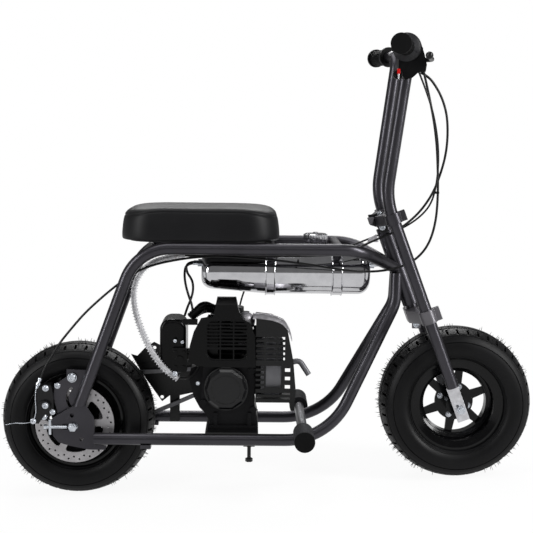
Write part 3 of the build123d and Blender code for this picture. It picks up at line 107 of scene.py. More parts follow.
def mesh_piece(name, points, faces, smooth=True):
    """A mesh object at the origin, with its place in its points and its faces turned outwards."""
    mesh = bpy.data.meshes.new(name)
    mesh.from_pydata([tuple(point) for point in points], [], faces)
    work = bmesh.new()
    work.from_mesh(mesh)
    bmesh.ops.remove_doubles(work, verts=work.verts, dist=1e-6)
    bmesh.ops.recalc_face_normals(work, faces=work.faces)
    work.to_mesh(mesh)
    work.free()
    for polygon in mesh.polygons:
        polygon.use_smooth = smooth
    if smooth:
        mesh.set_sharp_from_angle(angle=SHARP_ANGLE)
    piece = bpy.data.objects.new(name, mesh)
    bpy.context.scene.collection.objects.link(piece)
    return piece


def applied(piece):
    """The piece with its modifiers turned into plain mesh."""
    bpy.context.view_layer.update()
    graph = bpy.context.evaluated_depsgraph_get()
    mesh = bpy.data.meshes.new_from_object(piece.evaluated_get(graph))
    mesh.transform(piece.matrix_world)
    made = bpy.data.objects.new(piece.name, mesh)
    bpy.context.scene.collection.objects.link(made)
    name = piece.name
    bpy.data.objects.remove(piece)
    made.name = name
    return made


def bevelled(piece, width, segments=2):
    """Rounds the piece's edges by a width in millimetres."""
    bevel = piece.modifiers.new("edges", "BEVEL")
    bevel.width = width * MM
    bevel.segments = segments
    bevel.limit_method = "ANGLE"
    bevel.angle_limit = EDGE_ANGLE
    return applied(piece)


def square_to(axis):
    """Two directions square to an axis and to each other."""
    axis = axis.normalized()
    start = LEFT if abs(axis.y) < 0.9 else FORWARD
    first = axis.cross(start).normalized()
    return first, axis.cross(first)


def spun(name, profile, centre, axis, steps=64, closed=False):
    """A turned piece: its profile is (radius, distance along the axis) in millimetres."""
    across, over = square_to(axis)
    axis = axis.normalized()
    points = []
    for step in range(steps):
        turn = 2 * pi * step / steps
        out = across * cos(turn) + over * sin(turn)
        points += [centre + (out * radius + axis * along) * MM for radius, along in profile]
    count = len(profile)
    spans = count if closed else count - 1
    faces = []
    for step in range(steps):
        here = step * count
        there = (step + 1) % steps * count
        for span in range(spans):
            after = (span + 1) % count
            faces.append((here + span, here + after, there + after, there + span))
    return mesh_piece(name, points, faces)


def corners(left, low, right, high):
    """The corners of a rectangle, in order."""
    return [(left, low), (right, low), (right, high), (left, high)]


def plate(name, outline, depth, origin, across, over):
    """A flat piece: its outline in millimetres along two directions, and its depth along their normal."""
    normal = across.cross(over)
    points = [origin + (across * x + over * y) * MM for x, y in outline]
    points += [point + normal * depth * MM for point in points]
    count = len(outline)
    faces = [tuple(range(count)), tuple(range(2 * count - 1, count - 1, -1))]
    faces += [(i, (i + 1) % count, count + (i + 1) % count, count + i) for i in range(count)]
    return mesh_piece(name, points, faces, False)


def smooth_line(name, points, radius):
    """A round line on the smooth curve that its control points pull, its radius in millimetres."""
    curve = bpy.data.curves.new(name, "CURVE")
    curve.dimensions = "3D"
    spline = curve.splines.new("NURBS")
    spline.points.add(len(points) - 1)
    for place, point in zip(spline.points, points):
        place.co = (*point, 1)
    spline.order_u = 3
    spline.use_endpoint_u = True
    spline.resolution_u = 8
    curve.bevel_depth = radius * MM
    curve.bevel_resolution = 4
    curve.use_fill_caps = True
    line = bpy.data.objects.new(name, curve)
    bpy.context.scene.collection.objects.link(line)
    return line


def joined(name, pieces):
    """Several pieces made one."""
    work = bmesh.new()
    for piece in pieces:
        work.from_mesh(piece.data)
    mesh = bpy.data.meshes.new(name)
    work.to_mesh(mesh)
    work.free()
    for piece in pieces:
        bpy.data.objects.remove(piece)
    whole = bpy.data.objects.new(name, mesh)
    bpy.context.scene.collection.objects.link(whole)
    return whole


# Finishes: colours are a dark and a light one that a grain mixes, and rough is their range of roughness
def finish_of(name):
    """A new material, its tree and its shader."""
    material = bpy.data.materials.new(name)
    material.use_nodes = True
    tree = material.node_tree
    shader = tree.nodes["Principled BSDF"]
    return material, tree, shader


def grain(tree, scale, detail=3.0, kind="ShaderNodeTexNoise", stretch=(1, 1, 1)):
    """A noise on the object's own coordinates; scale counts its cells in a metre."""
    place = tree.nodes.new("ShaderNodeTexCoord")
    mapping = tree.nodes.new("ShaderNodeMapping")
    mapping.inputs["Scale"].default_value = stretch
    noise = tree.nodes.new(kind)
    noise.inputs["Scale"].default_value = scale
    if "Detail" in noise.inputs:
        noise.inputs["Detail"].default_value = detail
    tree.links.new(place.outputs["Object"], mapping.inputs["Vector"])
    tree.links.new(mapping.outputs["Vector"], noise.inputs["Vector"])
    return noise


def spread(tree, source, low, high, start=0.3, end=0.7):
    """Takes a grain's value to a range of values."""
    ranged = tree.nodes.new("ShaderNodeMapRange")
    ranged.inputs["From Min"].default_value = start
    ranged.inputs["From Max"].default_value = end
    ranged.inputs["To Min"].default_value = low
    ranged.inputs["To Max"].default_value = high
    tree.links.new(source, ranged.inputs["Value"])
    return ranged.outputs["Result"]


def tinted(tree, shader, share, dark, light):
    """Mixes two colours by a share into the shader's base colour."""
    mix = tree.nodes.new("ShaderNodeMix")
    mix.data_type = "RGBA"
    mix.inputs["A"].default_value = (*dark, 1)
    mix.inputs["B"].default_value = (*light, 1)
    tree.links.new(share, mix.inputs["Factor"])
    tree.links.new(mix.outputs["Result"], shader.inputs["Base Color"])


def clouded(tree, shader, cloud, dark, light, rough):
    """Lets one grain mix two colours and set the roughness."""
    tinted(tree, shader, spread(tree, cloud.outputs["Fac"], 0, 1), dark, light)
    tree.links.new(spread(tree, cloud.outputs["Fac"], *rough), shader.inputs["Roughness"])


def bumped(tree, shader, height, strength, distance, soft_edge=0.0):
    """Raises the surface by a height in millimetres, on softened edges where an edge radius is given."""
    bump = tree.nodes.new("ShaderNodeBump")
    bump.inputs["Strength"].default_value = strength
    bump.inputs["Distance"].default_value = distance * MM
    tree.links.new(height, bump.inputs["Height"])
    if soft_edge:
        edge = tree.nodes.new("ShaderNodeBevel")
        edge.samples = 4
        edge.inputs["Radius"].default_value = soft_edge * MM
        tree.links.new(edge.outputs["Normal"], bump.inputs["Normal"])
    tree.links.new(bump.outputs["Normal"], shader.inputs["Normal"])


def skinned(name, cloud, dark, light, rough, relief, sockets):
    """A finish of a cloud (scale, detail) and a relief (scale, detail, strength, height, soft edge)."""
    material, tree, shader = finish_of(name)
    clouded(tree, shader, grain(tree, *cloud), dark, light, rough)
    bumped(tree, shader, grain(tree, *relief[:2]).outputs["Fac"], *relief[2:])
    for socket, value in sockets.items():
        shader.inputs[socket].default_value = value
    return material


def powder_coat(name, dark, light, rough, metallic, coat=0.25):
    """Baked powder paint: fine orange peel, faint flake and a satin gloss."""
    material, tree, shader = finish_of(name)
    cloud = grain(tree, 9, 4)
    tinted(tree, shader, spread(tree, cloud.outputs["Fac"], 0, 1), dark, light)
    flake = grain(tree, 900, 2)
    tree.links.new(spread(tree, flake.outputs["Fac"], *rough), shader.inputs["Roughness"])
    peel = grain(tree, 620, 2)
    bumped(tree, shader, peel.outputs["Fac"], 0.10, 0.08, 0.6)
    shader.inputs["Metallic"].default_value = metallic
    shader.inputs["Specular IOR Level"].default_value = 0.3
    shader.inputs["Coat Weight"].default_value = coat
    shader.inputs["Coat Roughness"].default_value = 0.22
    return material


def moulded(name, dark, light, rough, shine=0.13):
    """Moulded plastic: a fine spark-eroded grain and a few smoother patches."""
    return skinned(name, (14, 3), dark, light, rough, (700, 3, 0.35, 0.12, 0.7), {"Specular IOR Level": shine})


def gloss_enamel(name):
    """Gloss black stoving enamel on the rims, with faint dust."""
    material, tree, shader = finish_of(name)
    dust = grain(tree, 60, 6)
    tinted(tree, shader, spread(tree, dust.outputs["Fac"], 0, 1, 0.5, 0.8),
           (0.0015, 0.0015, 0.0018), (0.0038, 0.0038, 0.0042))
    tree.links.new(spread(tree, dust.outputs["Fac"], 0.10, 0.2), shader.inputs["Roughness"])
    peel = grain(tree, 160, 2)
    bumped(tree, shader, peel.outputs["Fac"], 0.08, 0.12, 0.5)
    shader.inputs["Specular IOR Level"].default_value = 0.2
    shader.inputs["Coat Weight"].default_value = 0.06
    shader.inputs["Coat Roughness"].default_value = 0.06
    return material


def tyre_rubber(name):
    """Tyre rubber: near black, a bloom of grey, fine pores and a dull sheen."""
    return skinned(name, (12, 5), (0.0011, 0.0011, 0.0014), (0.0030, 0.0030, 0.0034), (0.38, 0.52),
                   (420, 4, 0.3, 0.18), {"Specular IOR Level": 0.17})


def soft_rubber(name, dark, light):
    """Soft moulded rubber of the grips and pegs."""
    return skinned(name, (30, 4), dark, light, (0.5, 0.68), (800, 3, 0.3, 0.12, 0.5), {"Specular IOR Level": 0.12})


def vinyl(name):
    """Smooth seat vinyl: a fine leather-like grain over a soft sheen."""
    material, tree, shader = finish_of(name)
    clouded(tree, shader, grain(tree, 7, 3), (0.0028, 0.0028, 0.0034), (0.0044, 0.0044, 0.0052), (0.44, 0.52))
    cells = grain(tree, 900, kind="ShaderNodeTexVoronoi")
    bumped(tree, shader, cells.outputs["Distance"], 0.18, 0.12)
    shader.inputs["Specular IOR Level"].default_value = 0.17
    shader.inputs["Sheen Weight"].default_value = 0.03
    shader.inputs["Sheen Roughness"].default_value = 0.5
    return material


def chrome(name):
    """Bright chrome plate with the faintest wave of the steel below it."""
    return skinned(name, (40, 4), (0.54, 0.54, 0.56), (0.64, 0.64, 0.66), (0.06, 0.12), (14, 2, 0.12, 0.6, 0.4),
                   {"Metallic": 1.0})


def zinc(name, dark, light, rough):
    """Zinc plate on screws, nuts and brackets, and plain sheet or bar."""
    return skinned(name, (90, 4), dark, light, rough, (700, 3, 0.2, 0.08, 0.4), {"Metallic": 1.0})


def ground_steel(name, dark, light):
    """Blanked steel, with the fine scratches that grinding leaves."""
    material, tree, shader = finish_of(name)
    clouded(tree, shader, grain(tree, 50, 5), dark, light, (0.34, 0.5))
    scratches = grain(tree, 260, 2, stretch=(1, 12, 1))
    bumped(tree, shader, scratches.outputs["Fac"], 0.2, 0.06, 0.4)
    shader.inputs["Metallic"].default_value = 0.85
    return material


def cast_alloy(name, dark, light, rough=(0.45, 0.62)):
    """Sand-cast or die-cast metal with a coarse skin."""
    return skinned(name, (22, 5), dark, light, rough, (520, 4, 0.5, 0.25, 0.9),
                   {"Metallic": 0.5, "Specular IOR Level": 0.2})


def sheath(name, dark, light, rough=(0.3, 0.42)):
    """Extruded cable sheath with a soft gloss and faint draw lines."""
    return skinned(name, (40, 3), dark, light, rough, (600, 2, 0.15, 0.08), {"Specular IOR Level": 0.3})


def clear_plastic(name):
    """Clear soft plastic, hazed by handling."""
    material, tree, shader = finish_of(name)
    clouded(tree, shader, grain(tree, 120, 3), (0.70, 0.70, 0.72), (0.86, 0.86, 0.88), (0.16, 0.3))
    shader.inputs["Transmission Weight"].default_value = 0.45
    shader.inputs["IOR"].default_value = 1.12
    return material


FRAME_PAINT = powder_coat("graphite powder coat", (0.036, 0.0345, 0.040), (0.054, 0.052, 0.060), (0.30, 0.38),
                          0.85, 0.15)
BLACK_PAINT = powder_coat("black sheet paint", (0.0016, 0.0016, 0.0018), (0.0034, 0.0034, 0.0038), (0.26, 0.4),
                          0.0, 0.03)
CLAMP_PAINT = powder_coat("grey clamp paint", (0.095, 0.092, 0.100), (0.135, 0.130, 0.142), (0.32, 0.44), 0.7)
GUSSET_PAINT = powder_coat("light gusset paint", (0.36, 0.35, 0.37), (0.46, 0.45, 0.48), (0.4, 0.5), 0.3)
ENAMEL = gloss_enamel("gloss rim enamel")
TYRE = tyre_rubber("tyre rubber")
RUBBER = soft_rubber("soft rubber", (0.0006, 0.0006, 0.0008), (0.0016, 0.0016, 0.0019))
PEG_RUBBER = soft_rubber("peg rubber", (0.022, 0.022, 0.024), (0.036, 0.036, 0.039))
FLANGE_PLASTIC = moulded("flange plastic", (0.012, 0.012, 0.013), (0.02, 0.02, 0.022), (0.24, 0.34))
PLASTIC = moulded("engine plastic", (0.0004, 0.0004, 0.0005), (0.0012, 0.0012, 0.0014), (0.18, 0.28), 0.16)
COVER_PLASTIC = moulded("cover plastic", (0.0022, 0.0022, 0.0026), (0.0036, 0.0036, 0.0041), (0.14, 0.2), 0.32)
SWITCH_PLASTIC = moulded("switch plastic", (0.0015, 0.0015, 0.0018), (0.0032, 0.0032, 0.0036), (0.28, 0.42))
VINYL = vinyl("seat vinyl")
CHROME = chrome("chrome plate")
ZINC = zinc("zinc plate", (0.50, 0.53, 0.58), (0.74, 0.77, 0.82), (0.2, 0.36))
DULL_ZINC = zinc("dull zinc", (0.56, 0.56, 0.58), (0.74, 0.74, 0.77), (0.36, 0.52))
DISC_STEEL = ground_steel("disc steel", (0.33, 0.32, 0.33), (0.45, 0.44, 0.45))
CHAIN_STEEL = ground_steel("chain steel", (0.10, 0.10, 0.11), (0.2, 0.2, 0.21))
CASTING = cast_alloy("crankcase casting", (0.0035, 0.0035, 0.004), (0.0085, 0.0083, 0.0094), (0.34, 0.5))
FIN_ALLOY = cast_alloy("cylinder alloy", (0.006, 0.006, 0.0066), (0.012, 0.012, 0.013))
MUFFLER_STEEL = cast_alloy("muffler steel", (0.11, 0.11, 0.12), (0.17, 0.17, 0.18), (0.38, 0.52))
SHIELD_STEEL = zinc("shield steel", (0.42, 0.41, 0.43), (0.58, 0.57, 0.6), (0.4, 0.55))
SHEATH = sheath("cable sheath", (0.002, 0.002, 0.0022), (0.0042, 0.0042, 0.0046))
WIRE_SHEATH = sheath("wire sheath", (0.0025, 0.0025, 0.0028), (0.005, 0.005, 0.0054))
FUEL_SHEATH = sheath("fuel line", (0.002, 0.002, 0.0022), (0.0045, 0.0045, 0.0049), (0.2, 0.3))
SLEEVE = clear_plastic("clear sleeve")
FIN_PLASTIC = sheath("sleeve fins", (0.42, 0.42, 0.44), (0.56, 0.56, 0.58), (0.35, 0.5))
CAP_RUBBER = soft_rubber("peg cap rubber", (0.0006, 0.0006, 0.0007), (0.0014, 0.0014, 0.0016))
BAR_STEEL = zinc("peg bar steel", (0.20, 0.20, 0.21), (0.32, 0.32, 0.335), (0.3, 0.42))
RED = moulded("red switch", (0.36, 0.004, 0.004), (0.46, 0.007, 0.007), (0.3, 0.4))

# The finish of each of the solids
NODE_FINISH = {
    FRAME_PAINT: ["top_tube_left", "top_tube_right", "down_tube_left", "down_tube_right", "head_tube",
                  "rear_plates", "cross_tubes", "caliper_bracket", "stem", "fork_tube_left",
                  "fork_tube_right", "upper_clamp"],
    CLAMP_PAINT: ["lower_clamp"],
    BLACK_PAINT: ["engine_plate", "seat_pan", "chain_guard", "muffler_guard", "brake_caliper", "brake_lever"],
    PLASTIC: ["air_box", "fan_shroud", "plug_cap", "carburettor"],
    COVER_PLASTIC: ["starter_cover"],
    SWITCH_PLASTIC: ["throttle_housing"],
    CASTING: ["crankcase", "clutch"],
    FIN_ALLOY: ["cylinder"],
    MUFFLER_STEEL: ["muffler"],
    SHIELD_STEEL: ["heat_shield"],
    BAR_STEEL: ["peg_bar"],
    PEG_RUBBER: ["foot_pegs"],
    RUBBER: ["grips"],
    ENAMEL: ["rim_front", "rim_rear"],
    CHROME: ["fuel_tank", "tank_cap", "tank_straps"],
    ZINC: ["rear_axle", "front_axle", "chain_adjusters", "tank_fittings"],
    DULL_ZINC: ["fork_ends"],
    DISC_STEEL: ["brake_disc", "rear_sprocket"],
    CHAIN_STEEL: ["chain"],
    TYRE: ["tyre_front", "tyre_rear"],
    VINYL: ["seat_cushion"],
}


def finished(piece, material):
    """Gives a piece its one material."""
    piece.data.materials.clear()
    piece.data.materials.append(material)


def dressed(piece, body, material):
    """Gives a finished piece its material and the body that it moves with."""
    finished(piece, material)
    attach(piece, body)
    return piece


def flat_part(name, outline, depth, origin, edge, body, material, across=ALONG, segments=2):
    """A plate that stands upright along the frame, with its edges rounded."""
    piece = bevelled(plate(name, outline, depth, origin, across, UPRIGHT), edge, segments)
    return dressed(piece, body, material)


for material, names in NODE_FINISH.items():
    for node in names:
        finished(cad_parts[node], material)

# Camera: fitted to the wheels and the tubes, with angles in radians and a lens in millimetres
CAMERA_PLACE = Vector((0.11229, -2.506, 0.14066))
CAMERA_YAW = -0.0074
CAMERA_PITCH = 0.1146
CAMERA_ROLL = -0.0393
CAMERA_LENS = 78.68


def make_camera():
    """The camera, turned sideways, down and about its own axis."""
    look = Vector((-sin(CAMERA_YAW) * cos(CAMERA_PITCH), cos(CAMERA_YAW) * cos(CAMERA_PITCH), -sin(CAMERA_PITCH)))
    level = Vector((cos(CAMERA_YAW), sin(CAMERA_YAW), 0))
    above = level.cross(look)
    across = level * cos(CAMERA_ROLL) + above * sin(CAMERA_ROLL)
    over = above * cos(CAMERA_ROLL) - level * sin(CAMERA_ROLL)
    data = bpy.data.cameras.new("camera")
    data.lens = CAMERA_LENS
    data.sensor_width = 36
    data.clip_start = 0.05
    camera = bpy.data.objects.new("camera", data)
    camera.matrix_world = Matrix.Translation(CAMERA_PLACE) @ Matrix((across, over, -look)).transposed().to_4x4()
    bpy.context.scene.collection.objects.link(camera)
    bpy.context.scene.camera = camera


def seen_by(tree, *rays):
    """One where a ray of these kinds looks, and zero for the rest."""
    path = tree.nodes.new("ShaderNodeLightPath")
    total = path.outputs[rays[0]]
    for ray in rays[1:]:
        add = tree.nodes.new("ShaderNodeMath")
        add.operation = "ADD"
        add.use_clamp = True
        tree.links.new(total, add.inputs[0])
        tree.links.new(path.outputs[ray], add.inputs[1])
        total = add.outputs["Value"]
    return total


# Floor, in metres: it is all white past WHITE_TO, and WHITE_NEAR of it is plain white within WHITE_FROM
FLOOR_HALF = 9.0
FLOOR_MIDDLE = 0.12
FLOOR_STRETCH = 0.72
FLOOR_WHITE_FROM = 0.55
FLOOR_WHITE_TO = 1.0
FLOOR_WHITE_NEAR = 0.93
FLOOR_IN_GLOSS = 0.8


def make_floor():
    """A pale floor that keeps the object's shadow near it and turns plain white further out."""
    outline = corners(-FLOOR_HALF, -FLOOR_HALF, FLOOR_HALF, FLOOR_HALF)
    floor = mesh_piece("floor", [Vector((x, y, GROUND)) for x, y in outline], [(0, 1, 2, 3)])
    material, tree, shader = finish_of("studio floor")
    shader.inputs["Base Color"].default_value = (0.86, 0.86, 0.86, 1)
    shader.inputs["Roughness"].default_value = 0.85
    shader.inputs["Specular IOR Level"].default_value = 0.1
    white = tree.nodes.new("ShaderNodeEmission")
    strength = spread(tree, seen_by(tree, "Is Camera Ray", "Is Transmission Ray"), FLOOR_IN_GLOSS, 1.0, 0, 1)
    tree.links.new(strength, white.inputs["Strength"])
    place = tree.nodes.new("ShaderNodeTexCoord")
    mapping = tree.nodes.new("ShaderNodeMapping")
    mapping.inputs["Location"].default_value = (-FLOOR_MIDDLE, 0.0, -GROUND)
    mapping.inputs["Scale"].default_value = (FLOOR_STRETCH, 1.0, 1.0)
    reach = tree.nodes.new("ShaderNodeVectorMath")
    reach.operation = "LENGTH"
    tree.links.new(place.outputs["Object"], mapping.inputs["Vector"])
    tree.links.new(mapping.outputs["Vector"], reach.inputs[0])
    far = spread(tree, reach.outputs["Value"], FLOOR_WHITE_NEAR, 1, FLOOR_WHITE_FROM, FLOOR_WHITE_TO)
    share = tree.nodes.new("ShaderNodeMath")
    share.operation = "MULTIPLY"
    tree.links.new(far, share.inputs[0])
    tree.links.new(seen_by(tree, "Is Camera Ray", "Is Glossy Ray", "Is Transmission Ray"), share.inputs[1])
    mix = tree.nodes.new("ShaderNodeMixShader")
    tree.links.new(share.outputs["Value"], mix.inputs["Fac"])
    tree.links.new(shader.outputs["BSDF"], mix.inputs[1])
    tree.links.new(white.outputs["Emission"], mix.inputs[2])
    tree.links.new(mix.outputs["Shader"], tree.nodes["Material Output"].inputs["Surface"])
    floor.data.materials.append(material)


WORLD_FILL = 0.18


def make_world():
    """White to the eye and in glass, and a faint fill for the rest."""
    world = bpy.data.worlds.new("studio")
    world.use_nodes = True
    bpy.context.scene.world = world
    tree = world.node_tree
    back = tree.nodes["Background"]
    back.inputs["Color"].default_value = (1, 1, 1, 1)
    strength = spread(tree, seen_by(tree, "Is Camera Ray", "Is Transmission Ray"), WORLD_FILL, 1.0, 0, 1)
    tree.links.new(strength, back.inputs["Strength"])


# Lamps: name, place, width and height in metres, power in watts; each points at the middle of the machine
LAMP_AIM = Vector((0.1, 0, -0.1))
LAMPS = [
    ("top lamp", (-0.3, 0.1, 2.4), 2.4, 1.6, 36),
    ("left lamp", (-2.3, -1.5, 0.9), 0.5, 2.2, 52),
    ("right lamp", (2.4, -1.2, 0.9), 0.45, 2.2, 78),
    ("back lamp", (0.3, 2.4, 1.6), 2.4, 0.6, 36),
    ("front lamp", (0.4, -3.4, 2.2), 3.2, 0.8, 11),
]


def make_lamps():
    """Large soft lamps round the machine."""
    for name, place, width, height, power in LAMPS:
        data = bpy.data.lights.new(name, "AREA")
        data.shape = "RECTANGLE"
        data.size = width
        data.size_y = height
        data.energy = power
        lamp = bpy.data.objects.new(name, data)
        lamp.location = place
        aim = LAMP_AIM - Vector(place)
        lamp.rotation_euler = aim.to_track_quat("-Z", "Y").to_euler()
        bpy.context.scene.collection.objects.link(lamp)


make_camera()
make_floor()
make_world()
make_lamps()
bpy.context.scene.view_settings.view_transform = "Standard"

# Cords: their radii and the points of their routes, in frame coordinates
CABLE_R = 2.5
WIRE_R = 2.0
SLEEVED_R = 2.6
FUEL_LINE_R = 2.6
BRAKE_CABLE = [
    (718, -128, 745), (737, -114, 680), (752, -97, 612), (759, -82, 548), (763, -68, 490), (761, -60, 435),
    (748, -56, 388), (722, -57, 357), (690, -56, 341), (655, -58, 333), (620, -64, 331), (583, -74, 334),
    (547, -81, 339), (505, -84, 346), (460, -83, 352), (412, -83, 357), (362, -84, 360), (308, -83, 363),
    (258, -83, 361), (218, -83, 355), (180, -83, 347), (147, -83, 336), (119, -83, 320), (90, -84, 299),
    (57, -86, 271), (24, -87, 240), (-4, -89, 207), (-28, -90, 177), (-46, -90, 147), (-62, -89, 121),
    (-70, -89, 95),
]
THROTTLE_CABLE = [
    (713, -118, 745), (729, -119, 738), (747, -116, 715), (760, -112, 692), (771, -106, 660), (775, -98, 620),
    (774, -88, 582), (768, -75, 546), (755, -59, 500), (732, -43, 460), (704, -32, 431), (676, -28, 412),
    (648, -27, 400), (620, -32, 388), (592, -46, 375), (560, -60, 367), (516, -70, 365), (468, -73, 364),
    (420, -72, 363), (368, -69, 363), (315, -66, 362), (268, -60, 361), (232, -55, 361),
]
KILL_WIRE = [
    (706, -136, 747), (732, -130, 690), (750, -116, 625), (757, -104, 568), (756, -88, 515), (750, -60, 474),
    (732, -22, 444), (702, 6, 419), (676, 26, 408), (648, 32, 400), (620, 36, 388), (592, 48, 375),
    (558, 62, 366), (518, 70, 363), (472, 72, 361), (428, 70, 352), (395, 64, 332), (370, 62, 300),
    (354, 63, 262), (345, 63, 222), (338, 60, 184), (331, 50, 152), (325, 41, 129),
]
CABLE_SLEEVE = [
    (232, -55, 361), (207, -57, 359), (176, -62, 352), (150, -67, 338), (134, -70, 317), (126, -72, 292),
    (126, -74, 264), (132, -76, 234), (144, -76, 200), (158, -75, 168), (176, -72, 138), (196, -70, 114),
    (218, -66, 99), (241, -60, 98), (257, -56, 110), (264, -55, 128.5),
]
FUEL_LINE_FRONT = [
    (248, -14, 340), (233, -14, 338), (229, -16, 318), (232, -20, 294), (240, -25, 268), (247, -30, 252),
    (249, -35, 236),
]
FUEL_LINE_REAR = [
    (248, 14, 340), (232, 14, 338), (232, 13, 318), (246, 8, 300), (248, -1, 278), (242, -8, 258),
    (235, -12, 242), (230, -14, 225.3),
]


def make_cord(name, points, radius, material, crosses):
    """A cord along its route; one that crosses the steering is left with no body, the rest move with the frame."""
    cord = applied(smooth_line(name + "_line", [at(*point) for point in points], radius))
    finished(cord, material)
    if crosses:
        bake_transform(cord)
    else:
        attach(cord, "frame")
    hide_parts(name)


make_cord("brake_cable", BRAKE_CABLE, CABLE_R, SHEATH, True)
make_cord("throttle_cable", THROTTLE_CABLE, CABLE_R, SHEATH, True)
make_cord("kill_wire", KILL_WIRE, WIRE_R, WIRE_SHEATH, True)
make_cord("cable_sleeve", CABLE_SLEEVE, SLEEVED_R, SHEATH, False)
make_cord("fuel_line_front", FUEL_LINE_FRONT, FUEL_LINE_R, FUEL_SHEATH, False)
make_cord("fuel_line_rear", FUEL_LINE_REAR, FUEL_LINE_R, FUEL_SHEATH, False)


# Geometry trees: one sets copies on points, the other threads rings on a line
RING_SIDES = 24


def new_tree(name, *inputs):
    """A geometry tree with its named inputs, and a lookup from their names to their identifiers."""
    tree = bpy.data.node_groups.new(name, "GeometryNodeTree")
    tree.interface.new_socket("Geometry", in_out="INPUT", socket_type="NodeSocketGeometry")
    keys = {}
    for label, kind in inputs:
        keys[label] = tree.interface.new_socket(label, in_out="INPUT", socket_type="NodeSocket" + kind).identifier
    tree.interface.new_socket("Geometry", in_out="OUTPUT", socket_type="NodeSocketGeometry")
    return tree, keys


def end_tree(tree, start, instances):
    """Closes a tree: the copies are made real and given their finish."""
    nodes, links = tree.nodes, tree.links
    real = nodes.new("GeometryNodeRealizeInstances")
    finish = nodes.new("GeometryNodeSetMaterial")
    end = nodes.new("NodeGroupOutput")
    links.new(instances, real.inputs["Geometry"])
    links.new(real.outputs["Geometry"], finish.inputs["Geometry"])
    links.new(start.outputs["Finish"], finish.inputs["Material"])
    links.new(finish.outputs["Geometry"], end.inputs["Geometry"])


def point_value(tree, name, kind):
    """A value that each point carries."""
    node = tree.nodes.new("GeometryNodeInputNamedAttribute")
    node.data_type = kind
    node.inputs["Name"].default_value = name
    return next(socket for socket in node.outputs if socket.enabled and socket.name == "Attribute")


def make_copies_tree():
    """Sets a copy of the pattern on each point, facing the point's way, turned and sized."""
    tree, keys = new_tree("copies", ("Pattern", "Object"), ("Finish", "Material"))
    nodes, links = tree.nodes, tree.links
    start = nodes.new("NodeGroupInput")
    pattern = nodes.new("GeometryNodeObjectInfo")
    links.new(start.outputs["Pattern"], pattern.inputs["Object"])
    align = nodes.new("FunctionNodeAlignRotationToVector")
    align.axis = "Z"
    links.new(point_value(tree, "facing", "FLOAT_VECTOR"), align.inputs["Vector"])
    about = nodes.new("FunctionNodeAxisAngleToRotation")
    about.inputs["Axis"].default_value = (0, 0, 1)
    links.new(point_value(tree, "turn", "FLOAT"), about.inputs["Angle"])
    turned = nodes.new("FunctionNodeRotateRotation")
    turned.rotation_space = "LOCAL"
    links.new(align.outputs["Rotation"], turned.inputs["Rotation"])
    links.new(about.outputs["Rotation"], turned.inputs["Rotate By"])
    place = nodes.new("GeometryNodeInstanceOnPoints")
    links.new(start.outputs["Geometry"], place.inputs["Points"])
    links.new(pattern.outputs["Geometry"], place.inputs["Instance"])
    links.new(turned.outputs["Rotation"], place.inputs["Rotation"])
    links.new(point_value(tree, "size", "FLOAT_VECTOR"), place.inputs["Scale"])
    end_tree(tree, start, place.outputs["Instances"])
    return tree, keys


def make_rings_tree():
    """Threads round discs on a line at an even pitch."""
    tree, keys = new_tree("rings", ("Radius", "Float"), ("Thickness", "Float"), ("Pitch", "Float"),
                          ("Finish", "Material"))
    nodes, links = tree.nodes, tree.links
    start = nodes.new("NodeGroupInput")
    even = nodes.new("GeometryNodeResampleCurve")
    even.mode = "LENGTH"
    links.new(start.outputs["Geometry"], even.inputs["Curve"])
    links.new(start.outputs["Pitch"], even.inputs["Length"])
    spots = nodes.new("GeometryNodeCurveToPoints")
    spots.mode = "EVALUATED"
    links.new(even.outputs["Curve"], spots.inputs["Curve"])
    disc = nodes.new("GeometryNodeMeshCylinder")
    disc.inputs["Vertices"].default_value = RING_SIDES
    links.new(start.outputs["Radius"], disc.inputs["Radius"])
    links.new(start.outputs["Thickness"], disc.inputs["Depth"])
    place = nodes.new("GeometryNodeInstanceOnPoints")
    links.new(spots.outputs["Points"], place.inputs["Points"])
    links.new(disc.outputs["Mesh"], place.inputs["Instance"])
    links.new(spots.outputs["Rotation"], place.inputs["Rotation"])
    end_tree(tree, start, place.outputs["Instances"])
    return tree, keys


COPIES, COPIES_KEYS = make_copies_tree()
RINGS, RINGS_KEYS = make_rings_tree()


def copies(name, pattern, places, body, material=ZINC):
    """Copies of a pattern piece: each place is (point, facing, turn in degrees, size)."""
    mesh = bpy.data.meshes.new(name)
    mesh.from_pydata([tuple(place[0]) for place in places], [], [])
    for label, kind in (("facing", "FLOAT_VECTOR"), ("turn", "FLOAT"), ("size", "FLOAT_VECTOR")):
        mesh.attributes.new(label, kind, "POINT")
    for index, (point, way, angle, scale) in enumerate(places):
        mesh.attributes["facing"].data[index].vector = way
        mesh.attributes["turn"].data[index].value = radians(angle)
        mesh.attributes["size"].data[index].vector = scale if isinstance(scale, tuple) else (scale, scale, scale)
    piece = bpy.data.objects.new(name, mesh)
    bpy.context.scene.collection.objects.link(piece)
    repeat = piece.modifiers.new("copies", "NODES")
    repeat.node_group = COPIES
    repeat[COPIES_KEYS["Pattern"]] = pattern
    repeat[COPIES_KEYS["Finish"]] = material
    dressed(applied(piece), body, material)


def rings(name, route, radius, thickness, pitch, material, body):
    """Discs threaded on a line that is given by its control points; sizes in millimetres."""
    line = smooth_line(name, route, 0)
    thread = line.modifiers.new("rings", "NODES")
    thread.node_group = RINGS
    thread[RINGS_KEYS["Radius"]] = radius * MM
    thread[RINGS_KEYS["Thickness"]] = thickness * MM
    thread[RINGS_KEYS["Pitch"]] = pitch * MM
    thread[RINGS_KEYS["Finish"]] = material
    dressed(applied(line), body, material)


# Fastener patterns: each stands on the origin and points up
ORIGIN = Vector((0, 0, 0))
ROUND_STEPS = 24


